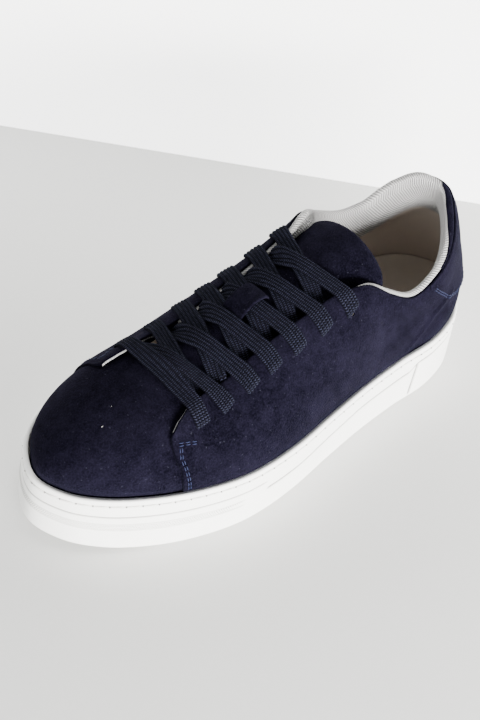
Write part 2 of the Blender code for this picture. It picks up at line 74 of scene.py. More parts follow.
# ---- the form's tables, mm ----
TOE_TIP = (-7.0, -131.0)
HEEL_TIP = (-1.5, 131.0)
OUTLINE = (
    # y      lateral  medial
    (-124.5,   9.8,  -24.0),
    (-112.0,  22.2,  -36.2),
    (-94.5,   32.6,  -44.2),
    (-73.0,   41.4,  -47.6),
    (-51.0,   46.8,  -47.4),
    (-34.0,   47.8,  -45.4),
    (-12.0,   46.0,  -41.2),
    (14.0,    41.4,  -36.8),
    (40.0,    37.4,  -34.8),
    (66.0,    34.9,  -34.6),
    (92.0,    33.6,  -34.0),
    (113.5,   26.4,  -27.6),
    (124.5,   15.6,  -18.0),
)
SOLE_HEIGHTS = (
    # y      rim    bed
    (-131.0, 35.6, 14.0),
    (-70.0,  33.4, 16.5),
    (0.0,    32.0, 21.5),
    (60.0,   32.6, 24.5),
    (131.0,  34.0, 25.0),
)
INSOLE_HEIGHTS = (
    # y      thick  edge
    (-131.0,  4.0,  0.0),
    (-20.0,   4.5,  0.0),
    (40.0,    7.0,  2.5),
    (90.0,    9.5,  5.5),
    (131.0,  10.0,  6.0),
)
# Upper sections. foot: y where the section leaves the rim. top: its point on the throat or collar edge.
# rise and bulge: how far it goes up and out from the rim. shoulder and drop: the same at its top.
UPPER_TOE = (-131.0, -4.0, -66.0, 69.5, 13.0, 1.5, 38.0, 7.0)
UPPER_HEEL = (131.0, -2.0, 110.5, 101.8, 24.0, 2.5, 8.5, 22.0)
UPPER_LATERAL = (
    # foot    top x   top y  top z  rise  bulge shoulder drop
    (-119.0,   4.0,  -66.5,  69.0,  13.0,  1.5,  35.0,   7.0),
    (-100.0,  11.0,  -67.0,  67.5,  13.0,  1.2,  27.0,   6.0),
    (-80.0,   15.5,  -64.0,  66.3,  13.0,  1.0,  16.0,   4.5),
    (-55.0,   16.5,  -48.0,  67.5,  13.0,  1.0,  15.0,   4.5),
    (-22.0,   16.5,  -21.0,  79.0,  17.0,  1.0,  16.0,   6.0),
    (6.0,     17.0,    9.0,  87.5,  22.0,  1.5,  15.0,   8.0),
    (26.0,    18.5,   26.0,  91.0,  24.0,  2.0,  13.0,   9.0),
    (37.0,    22.0,   38.0,  91.0,  24.0,  2.0,   9.0,  12.0),
    (48.0,    27.0,   50.0,  82.8,  20.0,  1.5,   4.0,  14.0),
    (64.0,    29.5,   65.0,  75.3,  16.0,  1.5,   2.5,  14.0),
    (82.0,    28.8,   80.5,  81.5,  18.0,  2.0,   3.0,  16.0),
    (101.0,   23.0,   93.0,  88.5,  20.0,  2.5,   5.0,  18.0),
    (118.0,   11.5,  104.0,  96.5,  22.0,  2.5,   7.0,  20.0),
)
UPPER_MEDIAL = (
    # foot    top x   top y  top z  rise  bulge shoulder drop
    (-119.0, -12.0,  -66.5,  69.0,  13.0,  1.5,  35.0,   7.0),
    (-100.0, -19.0,  -67.5,  67.5,  13.0,  1.2,  26.0,   6.0),
    (-82.0,  -23.0,  -65.0,  66.5,  13.0,  1.0,  16.0,   4.5),
    (-56.0,  -23.5,  -48.0,  68.0,  14.0,  1.0,  15.0,   5.0),
    (-24.0,  -23.8,  -19.0,  76.5,  18.0,  2.0,  16.0,   5.5),
    (6.0,    -24.3,   11.0,  87.0,  24.0,  3.0,  15.0,   7.0),
    (25.0,   -26.5,   29.0,  93.5,  27.0,  3.5,  12.0,   8.0),
    (37.0,   -31.0,   40.5,  94.8,  27.0,  3.0,   7.0,  12.0),
    (50.0,   -33.5,   52.0,  88.0,  24.0,  2.5,   3.0,  15.0),
    (70.0,   -33.0,   71.0,  79.8,  20.0,  1.5,   1.5,  15.0),
    (88.0,   -31.0,   86.0,  80.0,  20.0,  1.5,   2.5,  16.0),
    (104.0,  -26.0,   98.5,  88.0,  20.0,  2.5,   4.0,  18.0),
    (119.0,  -16.0,  106.5,  99.5,  22.0,  2.5,   7.0,  20.0),
)
TONGUE = (
    # y     height  half  middle radius
    (-76.0,  63.2,  17.0,  -3.5,  34.0),
    (-62.0,  67.4,  21.0,  -3.5,  34.0),
    (-48.0,  70.6,  23.0,  -3.5,  34.0),
    (-34.0,  75.0,  23.0,  -3.5,  34.0),
    (-20.0,  80.0,  23.0,  -3.5,  34.0),
    (-5.0,   85.0,  23.0,  -3.5,  34.0),
    (10.0,   89.0,  23.0,  -3.5,  32.0),
    (26.0,    93.2,  23.4,  -2.8,  30.0),
    (37.0,    96.2,  24.5,  -3.2,  31.0),
    (45.0,    98.3,  25.4,  -2.8,  32.0),
    (48.0,    98.9,  25.6,  -2.8,  32.0),
    (49.6,    99.1,  24.0,  -2.8,  32.0),
    (50.3,    99.2,  16.0,  -3.0,  32.0),
)
EYELETS = (
    # lateral x, y   medial x, y
    (26.0, -62.5, -33.0, -64.5),
    (26.0, -48.5, -33.0, -46.0),
    (26.0, -34.5, -33.0, -30.0),
    (26.0, -21.5, -32.5, -17.0),
    (26.0,  -7.0, -32.0,  -4.0),
    (26.0,   9.0, -31.5,  11.5),
    (26.0,  25.0, -30.5,  25.5),
)


# ---- numbers ----
def lookup(rows: Rows, places: Array | float) -> Array:
    """Reads a table smoothly.

    Args:
        rows: The table, whose first column rises.
        places: Values of the first column.

    Returns:
        One row of the table's columns for each place.
    """
    table = np.asarray(rows, float)
    keys = table[:, 0]
    places = np.atleast_1d(np.asarray(places, float))
    slopes = np.gradient(table, keys, axis=0)
    i = np.clip(np.searchsorted(keys, places) - 1, 0, len(keys) - 2)
    span = (keys[i + 1] - keys[i])[:, None]
    t = np.clip((places - keys[i])[:, None] / span, 0.0, 1.0)
    start = (1 + 2 * t) * (1 - t) ** 2 * table[i] + t * (1 - t) ** 2 * span * slopes[i]
    end = t * t * (3 - 2 * t) * table[i + 1] - t * t * (1 - t) * span * slopes[i + 1]
    return start + end


def closed_curve(points: Rows, steps: int) -> Array:
    """A smooth closed curve through points, the first one repeated at its end.

    Args:
        points: The points that it passes.
        steps: Points from each given one to the next.

    Returns:
        The points of the curve.
    """
    nodes = np.asarray(points, float)
    nodes = np.vstack([nodes[-1], nodes, nodes[0], nodes[1]])
    curve = []
    for a, b, c, d in zip(nodes, nodes[1:], nodes[2:], nodes[3:]):
        tb = np.linalg.norm(b - a) ** 0.5
        tc = tb + np.linalg.norm(c - b) ** 0.5
        td = tc + np.linalg.norm(d - c) ** 0.5
        t = np.linspace(tb, tc, steps, endpoint=False)[:, None]
        ab = (a * (tb - t) + b * t) / tb
        bc = (b * (tc - t) + c * (t - tb)) / (tc - tb)
        cd = (c * (td - t) + d * (t - tc)) / (td - tc)
        abc = (ab * (tc - t) + bc * t) / tc
        bcd = (bc * (td - t) + cd * (t - tb)) / (td - tb)
        curve.append((abc * (tc - t) + bcd * (t - tb)) / (tc - tb))
    return np.vstack([*curve, nodes[1:2]])


def run_lengths(points: Array) -> Array:
    """Distance from the first point to each point along a polyline."""
    return np.concatenate([[0.0], np.cumsum(np.linalg.norm(np.diff(points, axis=0), axis=1))])


def even_steps(points: Array, count: int) -> Array:
    """The polyline again as count + 1 points at equal distances."""
    run = run_lengths(points)
    places = np.linspace(0.0, run[-1], count + 1)
    return np.column_stack([np.interp(places, run, column) for column in points.T])


def unit(vectors: Array) -> Array:
    """The vectors with length one."""
    return vectors / np.maximum(np.linalg.norm(vectors, axis=-1, keepdims=True), 1e-9)


def ramp(low: float, high: float, value: Array | float) -> Array:
    """0 below low, 1 above high and a soft step between; low may be above high."""
    t = np.clip((np.asarray(value, float) - low) / (high - low), 0.0, 1.0)
    return t * t * (3 - 2 * t)


def distance_to(points: Array, path: Array) -> Arrays:
    """Distance of points from a polyline.

    Args:
        points: Points, in their last axis.
        path: The polyline's corners.

    Returns:
        The distances, and how far along the polyline the nearest place is, from 0 to 1.
    """
    best = np.full(points.shape[:-1], np.inf)
    along = np.zeros(points.shape[:-1])
    run = run_lengths(path)
    for a, b, start, end in zip(path, path[1:], run, run[1:]):
        share = np.clip(((points - a) @ (b - a)) / ((b - a) @ (b - a)), 0.0, 1.0)
        gap = np.linalg.norm(points - (a + share[..., None] * (b - a)), axis=-1)
        nearer = gap < best
        best = np.where(nearer, gap, best)
        along = np.where(nearer, (start + share * (end - start)) / run[-1], along)
    return best, along


def spaced(start: float, end: float, step: float) -> Array:
    """Places from start to end, about a step apart."""
    return np.linspace(start, end, max(2, round(abs(end - start) / step) + 1))


# ---- shader maths ----
class Signal:
    """A shader socket that reads as a number: an expression on it adds Math nodes."""

    def __init__(self, tree: bpy.types.NodeTree, socket: bpy.types.NodeSocket) -> None:
        """Wraps a socket of a tree."""
        self.tree = tree
        self.socket = socket

    def math(self, operation: str, *values: "Signal | float", clamp: bool = False) -> "Signal":
        """Adds one Math node.

        Args:
            operation: The node's operation.
            values: Its inputs in order, which are this signal where none is given.
            clamp: Whether the result is held between 0 and 1.

        Returns:
            The node's result.
        """
        node = self.tree.nodes.new("ShaderNodeMath")
        node.operation = operation
        node.use_clamp = clamp
        for slot, value in zip(node.inputs, values or (self,)):
            if isinstance(value, Signal):
                self.tree.links.new(value.socket, slot)
            else:
                slot.default_value = value
        return Signal(self.tree, node.outputs[0])

    def __add__(self, other: "Signal | float") -> "Signal":
        """Sum."""
        return self.math("ADD", self, other)

    __radd__ = __add__

    def __mul__(self, other: "Signal | float") -> "Signal":
        """Product."""
        return self.math("MULTIPLY", self, other)

    __rmul__ = __mul__

    def __sub__(self, other: "Signal | float") -> "Signal":
        """Difference."""
        return self.math("SUBTRACT", self, other)

    def __rsub__(self, other: "Signal | float") -> "Signal":
        """Difference from another."""
        return self.math("SUBTRACT", other, self)

    def __truediv__(self, other: "Signal | float") -> "Signal":
        """Quotient."""
        return self.math("DIVIDE", self, other)

    def __abs__(self) -> "Signal":
        """Size without sign."""
        return self.math("ABSOLUTE")

    def wave(self) -> "Signal":
        """Sine."""
        return self.math("SINE")

    def part(self) -> "Signal":
        """What is over a whole number."""
        return self.math("FRACT")

    def between(self, low: float, high: float) -> "Signal":
        """0 at low and 1 at high, held between them."""
        return self.math("MULTIPLY", self - low, 1.0 / (high - low), clamp=True)


class Surface:
    """A material while it is made: a Principled shader and the nodes that feed it."""

    def __init__(self, name: str, settings: dict[str, object]) -> None:
        """Starts a material with the Principled shader's inputs that are the same all over it."""
        self.material = bpy.data.materials.new(name)
        self.material.use_nodes = True
        self.tree = self.material.node_tree
        self.shader = self.tree.nodes["Principled BSDF"]
        for socket, value in settings.items():
            self.join(value, self.shader.inputs[socket])

    def node(self, kind: str, settings: dict[str, object] | None = None,
             inputs: dict[str | int, object] | None = None) -> bpy.types.Node:
        """Adds a node of a type, with its properties and then its inputs, by name or number."""
        node = self.tree.nodes.new(kind)
        for key, value in (settings or {}).items():
            setattr(node, key, value)
        for key, value in (inputs or {}).items():
            self.join(value, node.inputs[key])
        return node

    def join(self, value: object, slot: bpy.types.NodeSocket) -> None:
        """Links a signal or socket to a socket, or sets its value; a colour is opaque."""
        if isinstance(value, Signal):
            self.tree.links.new(value.socket, slot)
        elif isinstance(value, bpy.types.NodeSocket):
            self.tree.links.new(value, slot)
        else:
            slot.default_value = (*value, 1.0) if slot.type == "RGBA" else value

    def place(self) -> bpy.types.NodeSocket:
        """Position in the frame, in metres."""
        return self.node("ShaderNodeTexCoord").outputs["Object"]

    def flat(self) -> tuple[Signal, Signal]:
        """The mesh's own flat coordinates, in millimetres along and across."""
        uv = self.node("ShaderNodeUVMap", {"uv_map": "flat"}).outputs["UV"]
        parts = self.node("ShaderNodeSeparateXYZ", inputs={0: uv})
        return Signal(self.tree, parts.outputs[0]), Signal(self.tree, parts.outputs[1])

    def noise(self, grain_mm: float, detail: float = 2.0, roughness: float = 0.5,
              stretch: Place = (1.0, 1.0, 1.0)) -> Signal:
        """Adds a noise from 0 to 1: its largest grains, octaves of finer ones, their weight, and a scale."""
        scaled = self.node("ShaderNodeMapping", inputs={"Vector": self.place(), "Scale": stretch})
        noise = self.node("ShaderNodeTexNoise", {"noise_dimensions": "3D"}, {
            "Vector": scaled.outputs[0], "Scale": 1000.0 / grain_mm, "Detail": detail,
            "Roughness": roughness})
        return Signal(self.tree, noise.outputs["Fac"])

    def mix(self, share: Signal, low: object, high: object) -> bpy.types.NodeSocket:
        """A colour between two by a share."""
        node = self.node("ShaderNodeMix", {"data_type": "RGBA"}, {0: share, 6: low, 7: high})
        return node.outputs[2]

    def colour(self, value: object) -> None:
        """Sets the base colour."""
        self.join(value, self.shader.inputs["Base Color"])

    def clear_back(self) -> None:
        """Leaves the back of each face clear, so that a wall doesn't hide what stands before it."""
        back = self.node("ShaderNodeNewGeometry").outputs["Backfacing"]
        clear = self.node("ShaderNodeBsdfTransparent").outputs[0]
        mixed = self.node("ShaderNodeMixShader", inputs={0: back, 1: self.shader.outputs[0], 2: clear})
        self.join(mixed.outputs[0], self.tree.nodes["Material Output"].inputs["Surface"])

    def bump(self, height: Signal, depth_mm: float, strength: float = 1.0) -> None:
        """Raises fine detail by a height from 0 to 1 of a depth, over what was raised before."""
        bump = self.node("ShaderNodeBump", inputs={
            "Height": height, "Distance": depth_mm * MM, "Strength": strength})
        normal = self.shader.inputs["Normal"]
        if normal.is_linked:
            self.tree.links.new(normal.links[0].from_socket, bump.inputs["Normal"])
        self.tree.links.new(bump.outputs[0], normal)


# ---- finishes ----
@dataclass(frozen=True)
class Suede:
    """Brushed leather: a short nap, its tone mottled at random and lighter in patches of painted sheen where
    it is stroked the other way, with dust in it.
    """

    name: str = "navy_suede"
    dark: Colour = (0.0006, 0.0005, 0.0018)
    light: Colour = (0.0078, 0.0068, 0.0142)
    nap_mm: float = 0.85
    stroke_mm: float = 35.0
    dust: float = 0.22

    def material(self) -> bpy.types.Material:
        """Makes the material."""
        surface = Surface(self.name, {
            "Roughness": 0.95, "Specular IOR Level": 0.01, "Sheen Weight": 0.03, "Sheen Roughness": 0.45,
            "Sheen Tint": (0.50, 0.48, 0.80)})
        tone_and_sheen_strokes = surface.noise(self.stroke_mm, 3.0, 0.6)
        tone_and_sheen_patches = surface.noise(self.stroke_mm / 8, 3.0, 0.7)
        nap = surface.noise(self.nap_mm, 2.0, 0.8)
        fuzz = surface.noise(self.nap_mm * 0.45, 1.0, 0.6)
        # strokes and patches: tone that varies at random, and painted sheen of the nap
        shade = (tone_and_sheen_strokes.between(0.36, 0.66) * 0.36 + tone_and_sheen_patches.between(0.34, 0.68) * 0.26
                 + nap.between(0.38, 0.64) * 0.50 - 0.10)
        shade = shade * (1.0 - surface.flat()[0] * 0.8)
        body = surface.mix(shade, self.dark, self.light)
        specks = surface.noise(1.15, 0.0).between(0.79, 0.82) * self.dust
        surface.colour(surface.mix(specks, body, (0.05, 0.05, 0.07)))
        surface.bump(nap, 0.60, 0.9)
        surface.bump(fuzz, 0.22, 0.8)
        return surface.material


@dataclass(frozen=True)
class Braid:
    """Flat braided lace: slanted strands with lighter flecks, finer than its ribs, and painted shade in the
    grooves between the ribs.
    """

    name: str = "navy_braid"
    dark: Colour = (0.0016, 0.0015, 0.0026)
    light: Colour = (0.0255, 0.0268, 0.0470)
    strand_mm: float = 0.95
    ribs: int = 5
    width_mm: float = 8.3

    def material(self) -> bpy.types.Material:
        """Makes the material."""
        surface = Surface(self.name, {"Roughness": 0.85, "Specular IOR Level": 0.015, "Sheen Weight": 0.03,
                                      "Sheen Roughness": 0.4, "Sheen Tint": (0.55, 0.65, 0.9)})
        along, across = surface.flat()
        column = (across * (self.ribs / self.width_mm)).part() - 0.5
        slant = abs(column) * 0.9 + along / self.strand_mm
        strand = (slant * (2 * math.pi)).wave() * 0.5 + 0.5
        fibre = surface.noise(0.28, 2.0, 0.7)
        fleck = surface.noise(0.9, 1.0, 0.6)
        # painted shade: darker towards the grooves between the ribs
        crown = 1.0 - abs(column).between(0.22, 0.46) * 0.95
        light = strand.between(0.35, 0.95) * crown * (fleck.between(0.3, 0.6) * 0.6 + fibre * 0.4)
        surface.colour(surface.mix(light, self.dark, self.light))
        surface.bump(strand, 0.28, 0.8)
        surface.bump(fibre, 0.06, 0.7)
        return surface.material


@dataclass(frozen=True)
class RibbedTextile:
    """Light lining cloth with fine slanted ribs."""

    name: str = "grey_textile"
    dark: Colour = (0.10, 0.098, 0.095)
    light: Colour = (0.52, 0.51, 0.505)
    smooth: Colour = (0.50, 0.43, 0.37)
    smooth_from: float = 20.0
    rib_mm: float = 1.45
    slant: float = 0.75

    def material(self) -> bpy.types.Material:
        """Makes the material."""
        surface = Surface(self.name, {"Roughness": 0.9, "Specular IOR Level": 0.2, "Sheen Weight": 0.15})
        along, across = surface.flat()
        rib = ((along + across * self.slant) * (2 * math.pi / self.rib_mm)).wave() * 0.5 + 0.5
        yarn = ((across - along * 0.4) * (2 * math.pi / 0.62)).wave() * 0.5 + 0.5
        fibre = surface.noise(0.35, 2.0, 0.7)
        soft = surface.noise(14.0, 2.0)
        shade = rib * 0.60 + yarn * 0.16 + fibre * 0.20 + soft * 0.10
        inner = across.between(self.smooth_from, self.smooth_from + 6.0)
        ribbed = surface.mix(shade, self.dark, self.light)
        surface.colour(surface.mix(inner, ribbed, self.smooth))
        surface.bump(rib * (1.0 - inner), 0.60, 0.9)
        surface.bump(yarn * 0.5 + fibre, 0.08, 0.6)
        return surface.material


@dataclass(frozen=True)
class Rubber:
    """Matte moulded rubber, off-white, a little marked, with painted shade down in its grooves and round the
    feet of the toe's pyramids.
    """

    name: str = "white_rubber"
    base: Colour = (0.80, 0.80, 0.775)
    mark: Colour = (0.60, 0.59, 0.56)
    # colour of the painted shade in the grooves and between the toe's pyramids
    recess_shade: Colour = (0.10, 0.095, 0.085)

    def material(self) -> bpy.types.Material:
        """Makes the material."""
        surface = Surface(self.name, {"Roughness": 0.55, "Specular IOR Level": 0.35})
        cloud = surface.noise(18.0, 3.0, 0.6)
        smudge = surface.noise(3.5, 3.0, 0.6)
        grain = surface.noise(0.35, 2.0, 0.6)
        share = cloud.between(0.45, 0.8) * 0.12 + smudge.between(0.66, 0.78) * 0.22 + grain * 0.04
        body = surface.mix(share, self.base, self.mark)
        # painted shade: darker by the groove depth, or the knurl's foot mark, that the mesh carries in its
        # flat coordinates
        deep = surface.flat()[0].between(0.03, 0.70) * (cloud * 0.5 + 0.65)
        surface.colour(surface.mix(deep, body, self.recess_shade))
        surface.join(cloud * 0.15 + grain * 0.1 + 0.42, surface.shader.inputs["Roughness"])
        surface.bump(grain, 0.03, 0.5)
        return surface.material


@dataclass(frozen=True)
class Plain:
    """A fine matt material with a little grain, for thread, footbed and other small things."""

    name: str
    base: Colour
    other: Colour
    grain_mm: float = 0.4
    depth_mm: float = 0.05
    roughness: float = 0.9
    glow: float = 0.0

    def material(self) -> bpy.types.Material:
        """Makes the material."""
        surface = Surface(self.name, {"Roughness": self.roughness, "Specular IOR Level": 0.2,
                                      "Emission Color": (1.0, 1.0, 0.99), "Emission Strength": self.glow})
        grain = surface.noise(self.grain_mm, 2.0, 0.6)
        cloud = surface.noise(self.grain_mm * 30, 2.0, 0.5)
        surface.colour(surface.mix(grain * 0.6 + cloud * 0.4, self.base, self.other))
        surface.bump(grain, self.depth_mm, 0.7)
        if self.glow:
            surface.clear_back()
        return surface.material


class Finish(Enum):
    """The finishes of the shoe and what it stands on."""

    SUEDE = Suede()
    BRAID = Braid()
    LINING = RibbedTextile()
    RUBBER = Rubber()
    FOOTBED = Plain("beige_footbed", (0.50, 0.44, 0.375), (0.58, 0.52, 0.45), 0.5, 0.06)
    THREAD = Plain("blue_thread", (0.005, 0.007, 0.024), (0.014, 0.019, 0.058), 0.3, 0.05, 0.7)
    SOLE_THREAD = Plain("white_thread", (0.62, 0.61, 0.58), (0.78, 0.77, 0.74), 0.3, 0.05, 0.8)
    # dark dots that stand for the shade inside the sole's needle holes: painted shade
    NEEDLE_HOLE = Plain("needle_hole", (0.10, 0.09, 0.09), (0.30, 0.29, 0.28), 0.8, 0.02)
    WALL = Plain("pale_wall", (0.33, 0.33, 0.33), (0.37, 0.37, 0.36), 4.0, 0.02, glow=3.9)
    FLOOR = Plain("pale_floor", (0.68, 0.68, 0.665), (0.72, 0.72, 0.705), 3.0, 0.02)

    @cached_property
    def made(self) -> bpy.types.Material:
        """The material, made once."""
        return self.value.material()


# ---- meshes ----
class Weave:
    """Gathers grids of points, in millimetres, into one mesh."""

    def __init__(self) -> None:
        """Starts with nothing."""
        self.points: list[Array] = []
        self.flat: list[Array] = []
        self.faces: list[Array] = []
        self.count = 0

    def add(self, points: Array, flat: Array | None = None) -> Array:
        """Adds points without faces, with flat coordinates, and gives their numbers in the grid's shape."""
        shape = points.shape[:-1]
        numbers = np.arange(self.count, self.count + int(np.prod(shape))).reshape(shape)
        self.count += numbers.size
        self.points.append(points.reshape(-1, 3))
        self.flat.append(np.zeros((numbers.size, 2)) if flat is None else flat.reshape(-1, 2))
        return numbers

    def quads(self, *corners: Array) -> None:
        """Adds a face for each four numbers."""
        self.faces.append(np.stack([corner.ravel() for corner in corners], axis=1))

    def skin(self, grid: Array, around: bool = False, flip: bool = False) -> None:
        """Adds the faces of a grid of numbers, whose rows may close, and which may look the other way."""
        if around:
            grid = np.concatenate([grid, grid[:, :1]], axis=1)
        corners = (grid[:-1, :-1], grid[:-1, 1:], grid[1:, 1:], grid[1:, :-1])
        self.quads(*(corners[::-1] if flip else corners))

    def sheet(self, top: Array, bottom: Array, flat: Array | None = None) -> None:
        """Adds a closed sheet from its top and bottom grids, which share flat coordinates."""
        upper, lower = self.add(top, flat), self.add(bottom, flat)
        self.skin(upper)
        self.skin(lower, flip=True)
        self.skin(np.stack([self.border(lower), self.border(upper)]), around=True)

    @staticmethod
    def border(grid: Array) -> Array:
        """The numbers round a grid, in order."""
        return np.concatenate([grid[0, :-1], grid[:-1, -1], grid[-1, :0:-1], grid[:0:-1, 0]])

    def tube(self, rings: Array, flat: Array | None = None) -> None:
        """Adds a closed tube through rings of points, with faces across its ends."""
        grid = self.add(rings, flat)
        self.skin(grid, around=True)
        for row, flip in ((grid[0], False), (grid[-1], True)):
            half = len(row) // 2
            left, right = row[:half + 1], np.concatenate([row[:1], row[:-half - 1:-1]])
            self.skin(np.stack([right, left]), flip=not flip)

    def rod(self, path: Array, side: Array, up: Array, radius: Array | float, sides: int) -> None:
        """Adds a closed round tube along a path, with its radius there and two directions across it."""
        angle = np.linspace(0, 2 * np.pi, sides, endpoint=False)[None, :, None]
        around = side * np.cos(angle) + up * np.sin(angle)
        self.tube(path[:, None] + around * np.reshape(radius, (-1, 1, 1)))

    def take(self, other: "Weave") -> None:
        """Adds everything of another."""
        self.points += other.points
        self.flat += other.flat
        self.faces += [faces + self.count for faces in other.faces]
        self.count += other.count

    def build(self, name: str, finish: Finish) -> Piece:
        """Makes the object.

        Args:
            name: The piece's name.
            finish: Its finish.

        Returns:
            The object, in metres, shaded smooth.
        """
        mesh = bpy.data.meshes.new(name)
        # A quad with a repeated corner becomes a triangle.
        faces = [tuple(dict.fromkeys(face)) for face in np.concatenate(self.faces).tolist()]
        mesh.from_pydata((np.concatenate(self.points) * MM).tolist(), [], faces)
        layer = mesh.uv_layers.new(name="flat")
        corners = np.empty(len(mesh.loops), dtype=np.int32)
        mesh.loops.foreach_get("vertex_index", corners)
        layer.data.foreach_set("uv", np.concatenate(self.flat)[corners].ravel().astype(np.float32))
        mesh.materials.append(finish.made)
        solid = bmesh.new()
        solid.from_mesh(mesh)
        bmesh.ops.recalc_face_normals(solid, faces=solid.faces)
        solid.to_mesh(mesh)
        solid.free()
        mesh.shade_smooth()
        mesh.validate()
        piece = bpy.data.objects.new(name, mesh)
        bpy.context.scene.collection.objects.link(piece)
        return piece


def sheet(name: str, finish: Finish, top: Array, bottom: Array, flat: Array | None = None) -> Piece:
    """Makes an object that is one closed sheet, from its top and bottom grids in millimetres."""
    weave = Weave()
    weave.sheet(top, bottom, flat)
    return weave.build(name, finish)


def mount(piece: Piece, slot: str, *nodes: str) -> Piece:
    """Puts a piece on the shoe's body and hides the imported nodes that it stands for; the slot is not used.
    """
    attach(piece, BODY)
    if nodes:
        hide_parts(*nodes)
    log.info("%s: %d faces", piece.name, len(piece.data.polygons))
    return piece


# ---- the form ----
class Side(Enum):
    """The two sides of the shoe, by the sign of X."""

    LATERAL = 1
    MEDIAL = -1

    @property
    def label(self) -> str:
        """The side's name as pieces' names have it."""
        return self.name.lower()

    def pick(self, values: Sequence[object]) -> object:
        """This side's one of a lateral and a medial value."""
        return values[self is Side.MEDIAL]


@dataclass(frozen=True)
class Last:
    """The form that every piece lies on.

    A turn goes round the shoe: 0 at the toe tip, 0.5 at the heel by way of the lateral side, 1 back at
    the toe, about GIRTH millimetres. A level goes from 0 at the sole's rim to 1 at the upper's top edge,
    about HEIGHT; under 0 it counts UNDER millimetres down, straight into the cup.
    """

    half_length: float = 131.0
    wall_draft: float = 1.2
    upper_inset: float = 3.8
    insole_inset: float = 6.6
    cup_reach: float = 16.0
    fit_gap: float = 0.3
    rim_clearance: float = 0.6
    toe_spring: float = 5.2
    toe_spring_start: float = -75.0
    heel_lift: float = 1.5
    heel_lift_start: float = 118.0
    arch_rise: float = 2.2
    arch: Pair = (-5.0, 58.0)
    columns: int = 1600
    rows: int = 160
    curve_steps: int = 60
    under: float = 50.0
    girth: float = 640.0
    height: float = 60.0

    @cached_property
    def edge(self) -> Arrays:
        """The outline at the floor and its inward directions, evenly round each side."""
        lateral = [(row[1], row[0]) for row in OUTLINE]
        medial = [(row[2], row[0]) for row in reversed(OUTLINE)]
        loop = closed_curve([TOE_TIP, *lateral, HEEL_TIP, *medial], self.curve_steps)
        heel = self.curve_steps * (len(lateral) + 1)
        half = self.columns // 2
        points = np.vstack([even_steps(loop[:heel + 1], half)[:-1], even_steps(loop[heel:], half)[:-1]])
        ahead = np.roll(points, -1, axis=0) - np.roll(points, 1, axis=0)
        return points, unit(np.column_stack([-ahead[:, 1], ahead[:, 0]]))

    def ring(self, turns: Array, inset: Array | float) -> Array:
        """Places of the outline at turns, moved inwards by an inset."""
        points, inward = self.edge
        keys = np.arange(self.columns + 1) / self.columns
        moved = np.column_stack([points, inward])
        moved = np.vstack([moved, moved[:1]])
        x, y, dx, dy = (np.interp(turns % 1.0, keys, column) for column in moved.T)
        return np.stack([x + dx * inset, y + dy * inset], axis=-1)

    def rim_height(self, y: Array) -> Array:
        """Top of the sole's wall."""
        return lookup(SOLE_HEIGHTS, y)[:, 1]

    def floor_height(self, y: Array, centre: Array | float = 0.0) -> Array:
        """Underside of the sole: toe spring, heel lift, and the arch, full where centre is 1."""
        toe = np.clip((self.toe_spring_start - y) / (self.half_length + self.toe_spring_start), 0, 1)
        heel = np.clip((y - self.heel_lift_start) / (self.half_length - self.heel_lift_start), 0, 1)
        arch = np.sin(np.pi * np.clip((y - self.arch[0]) / (self.arch[1] - self.arch[0]), 0, 1))
        return self.toe_spring * toe ** 2 + self.heel_lift * heel ** 2 + centre * self.arch_rise * arch ** 2

    def bed_height(self, y: Array) -> Array:
        """Top of the rubber under the footbed."""
        return self.floor_height(y) + lookup(SOLE_HEIGHTS, y)[:, 2]

    def insole_height(self, y: Array, centre: Array | float) -> Array:
        """Top of the insole, whose edge turns up round the heel; centre is 1 at the middle."""
        _, thickness, edge = lookup(INSOLE_HEIGHTS, y).T
        away = np.clip((self.half_length - self.insole_inset - y) / self.cup_reach, 0, 1)
        return self.bed_height(y) + self.fit_gap + thickness + edge * (1 - centre * away) ** 2

    def turn_at(self, y: float, side: Side) -> float:
        """The turn where the upper's foot passes a y on one side."""
        half = self.columns // 2
        foot = self.ring(np.arange(self.columns) / self.columns, self.upper_inset)[:, 1]
        turns = side.pick((np.arange(half + 1), np.arange(self.columns, half - 1, -1)))
        return float(np.interp(y, foot[turns % self.columns], turns)) / self.columns

    def ends(self, y: float) -> Pair:
        """The turns where the upper's foot passes a y, lateral and medial."""
        return self.turn_at(y, Side.LATERAL), self.turn_at(y, Side.MEDIAL)

    def turns(self, start: float, end: float, step: float) -> Array:
        """Turns from start to end, about a step in millimetres apart."""
        return spaced(start, end, step / self.girth)

    def hidden(self, depth: float) -> Array:
        """Levels from a depth in the cup up to just under the rim."""
        return np.linspace(-depth / self.under, 0, 6)[:-1]

    @cached_property
    def grid(self) -> Arrays:
        """Points and unit normals of the whole surface, levels by turns."""
        rows = [(0.0, *UPPER_TOE[1:])]
        rows += [(self.turn_at(row[0], Side.LATERAL), *row[1:]) for row in UPPER_LATERAL]
        rows += [(0.5, *UPPER_HEEL[1:])]
        rows += [(self.turn_at(row[0], Side.MEDIAL), *row[1:]) for row in reversed(UPPER_MEDIAL)]
        rows = [(r[0] - 1, *r[1:]) for r in rows[-2:]] + rows + [(r[0] + 1, *r[1:]) for r in rows[:3]]
        turns = np.arange(self.columns) / self.columns
        values = lookup(rows, turns)
        top, (rise, bulge, shoulder, drop) = values[:, 1:4], (values[:, k, None] for k in range(4, 8))
        foot = self.ring(turns, self.upper_inset)
        rim = np.column_stack([foot, self.rim_height(foot[:, 1]) + self.rim_clearance])
        outward = np.column_stack([-self.edge[1], np.zeros(self.columns)])
        away = unit((rim - top) * (1, 1, 0))
        leave = rim + UP * rise + outward * bulge
        arrive = top + away * shoulder - UP * drop
        t = np.linspace(0, 1, self.rows)[:, None, None]
        points = ((1 - t) ** 3 * rim + 3 * (1 - t) ** 2 * t * leave
                  + 3 * (1 - t) * t * t * arrive + t ** 3 * top)
        round_ = np.roll(points, -1, axis=1) - np.roll(points, 1, axis=1)
        return points, unit(np.cross(round_, np.gradient(points, axis=0)))

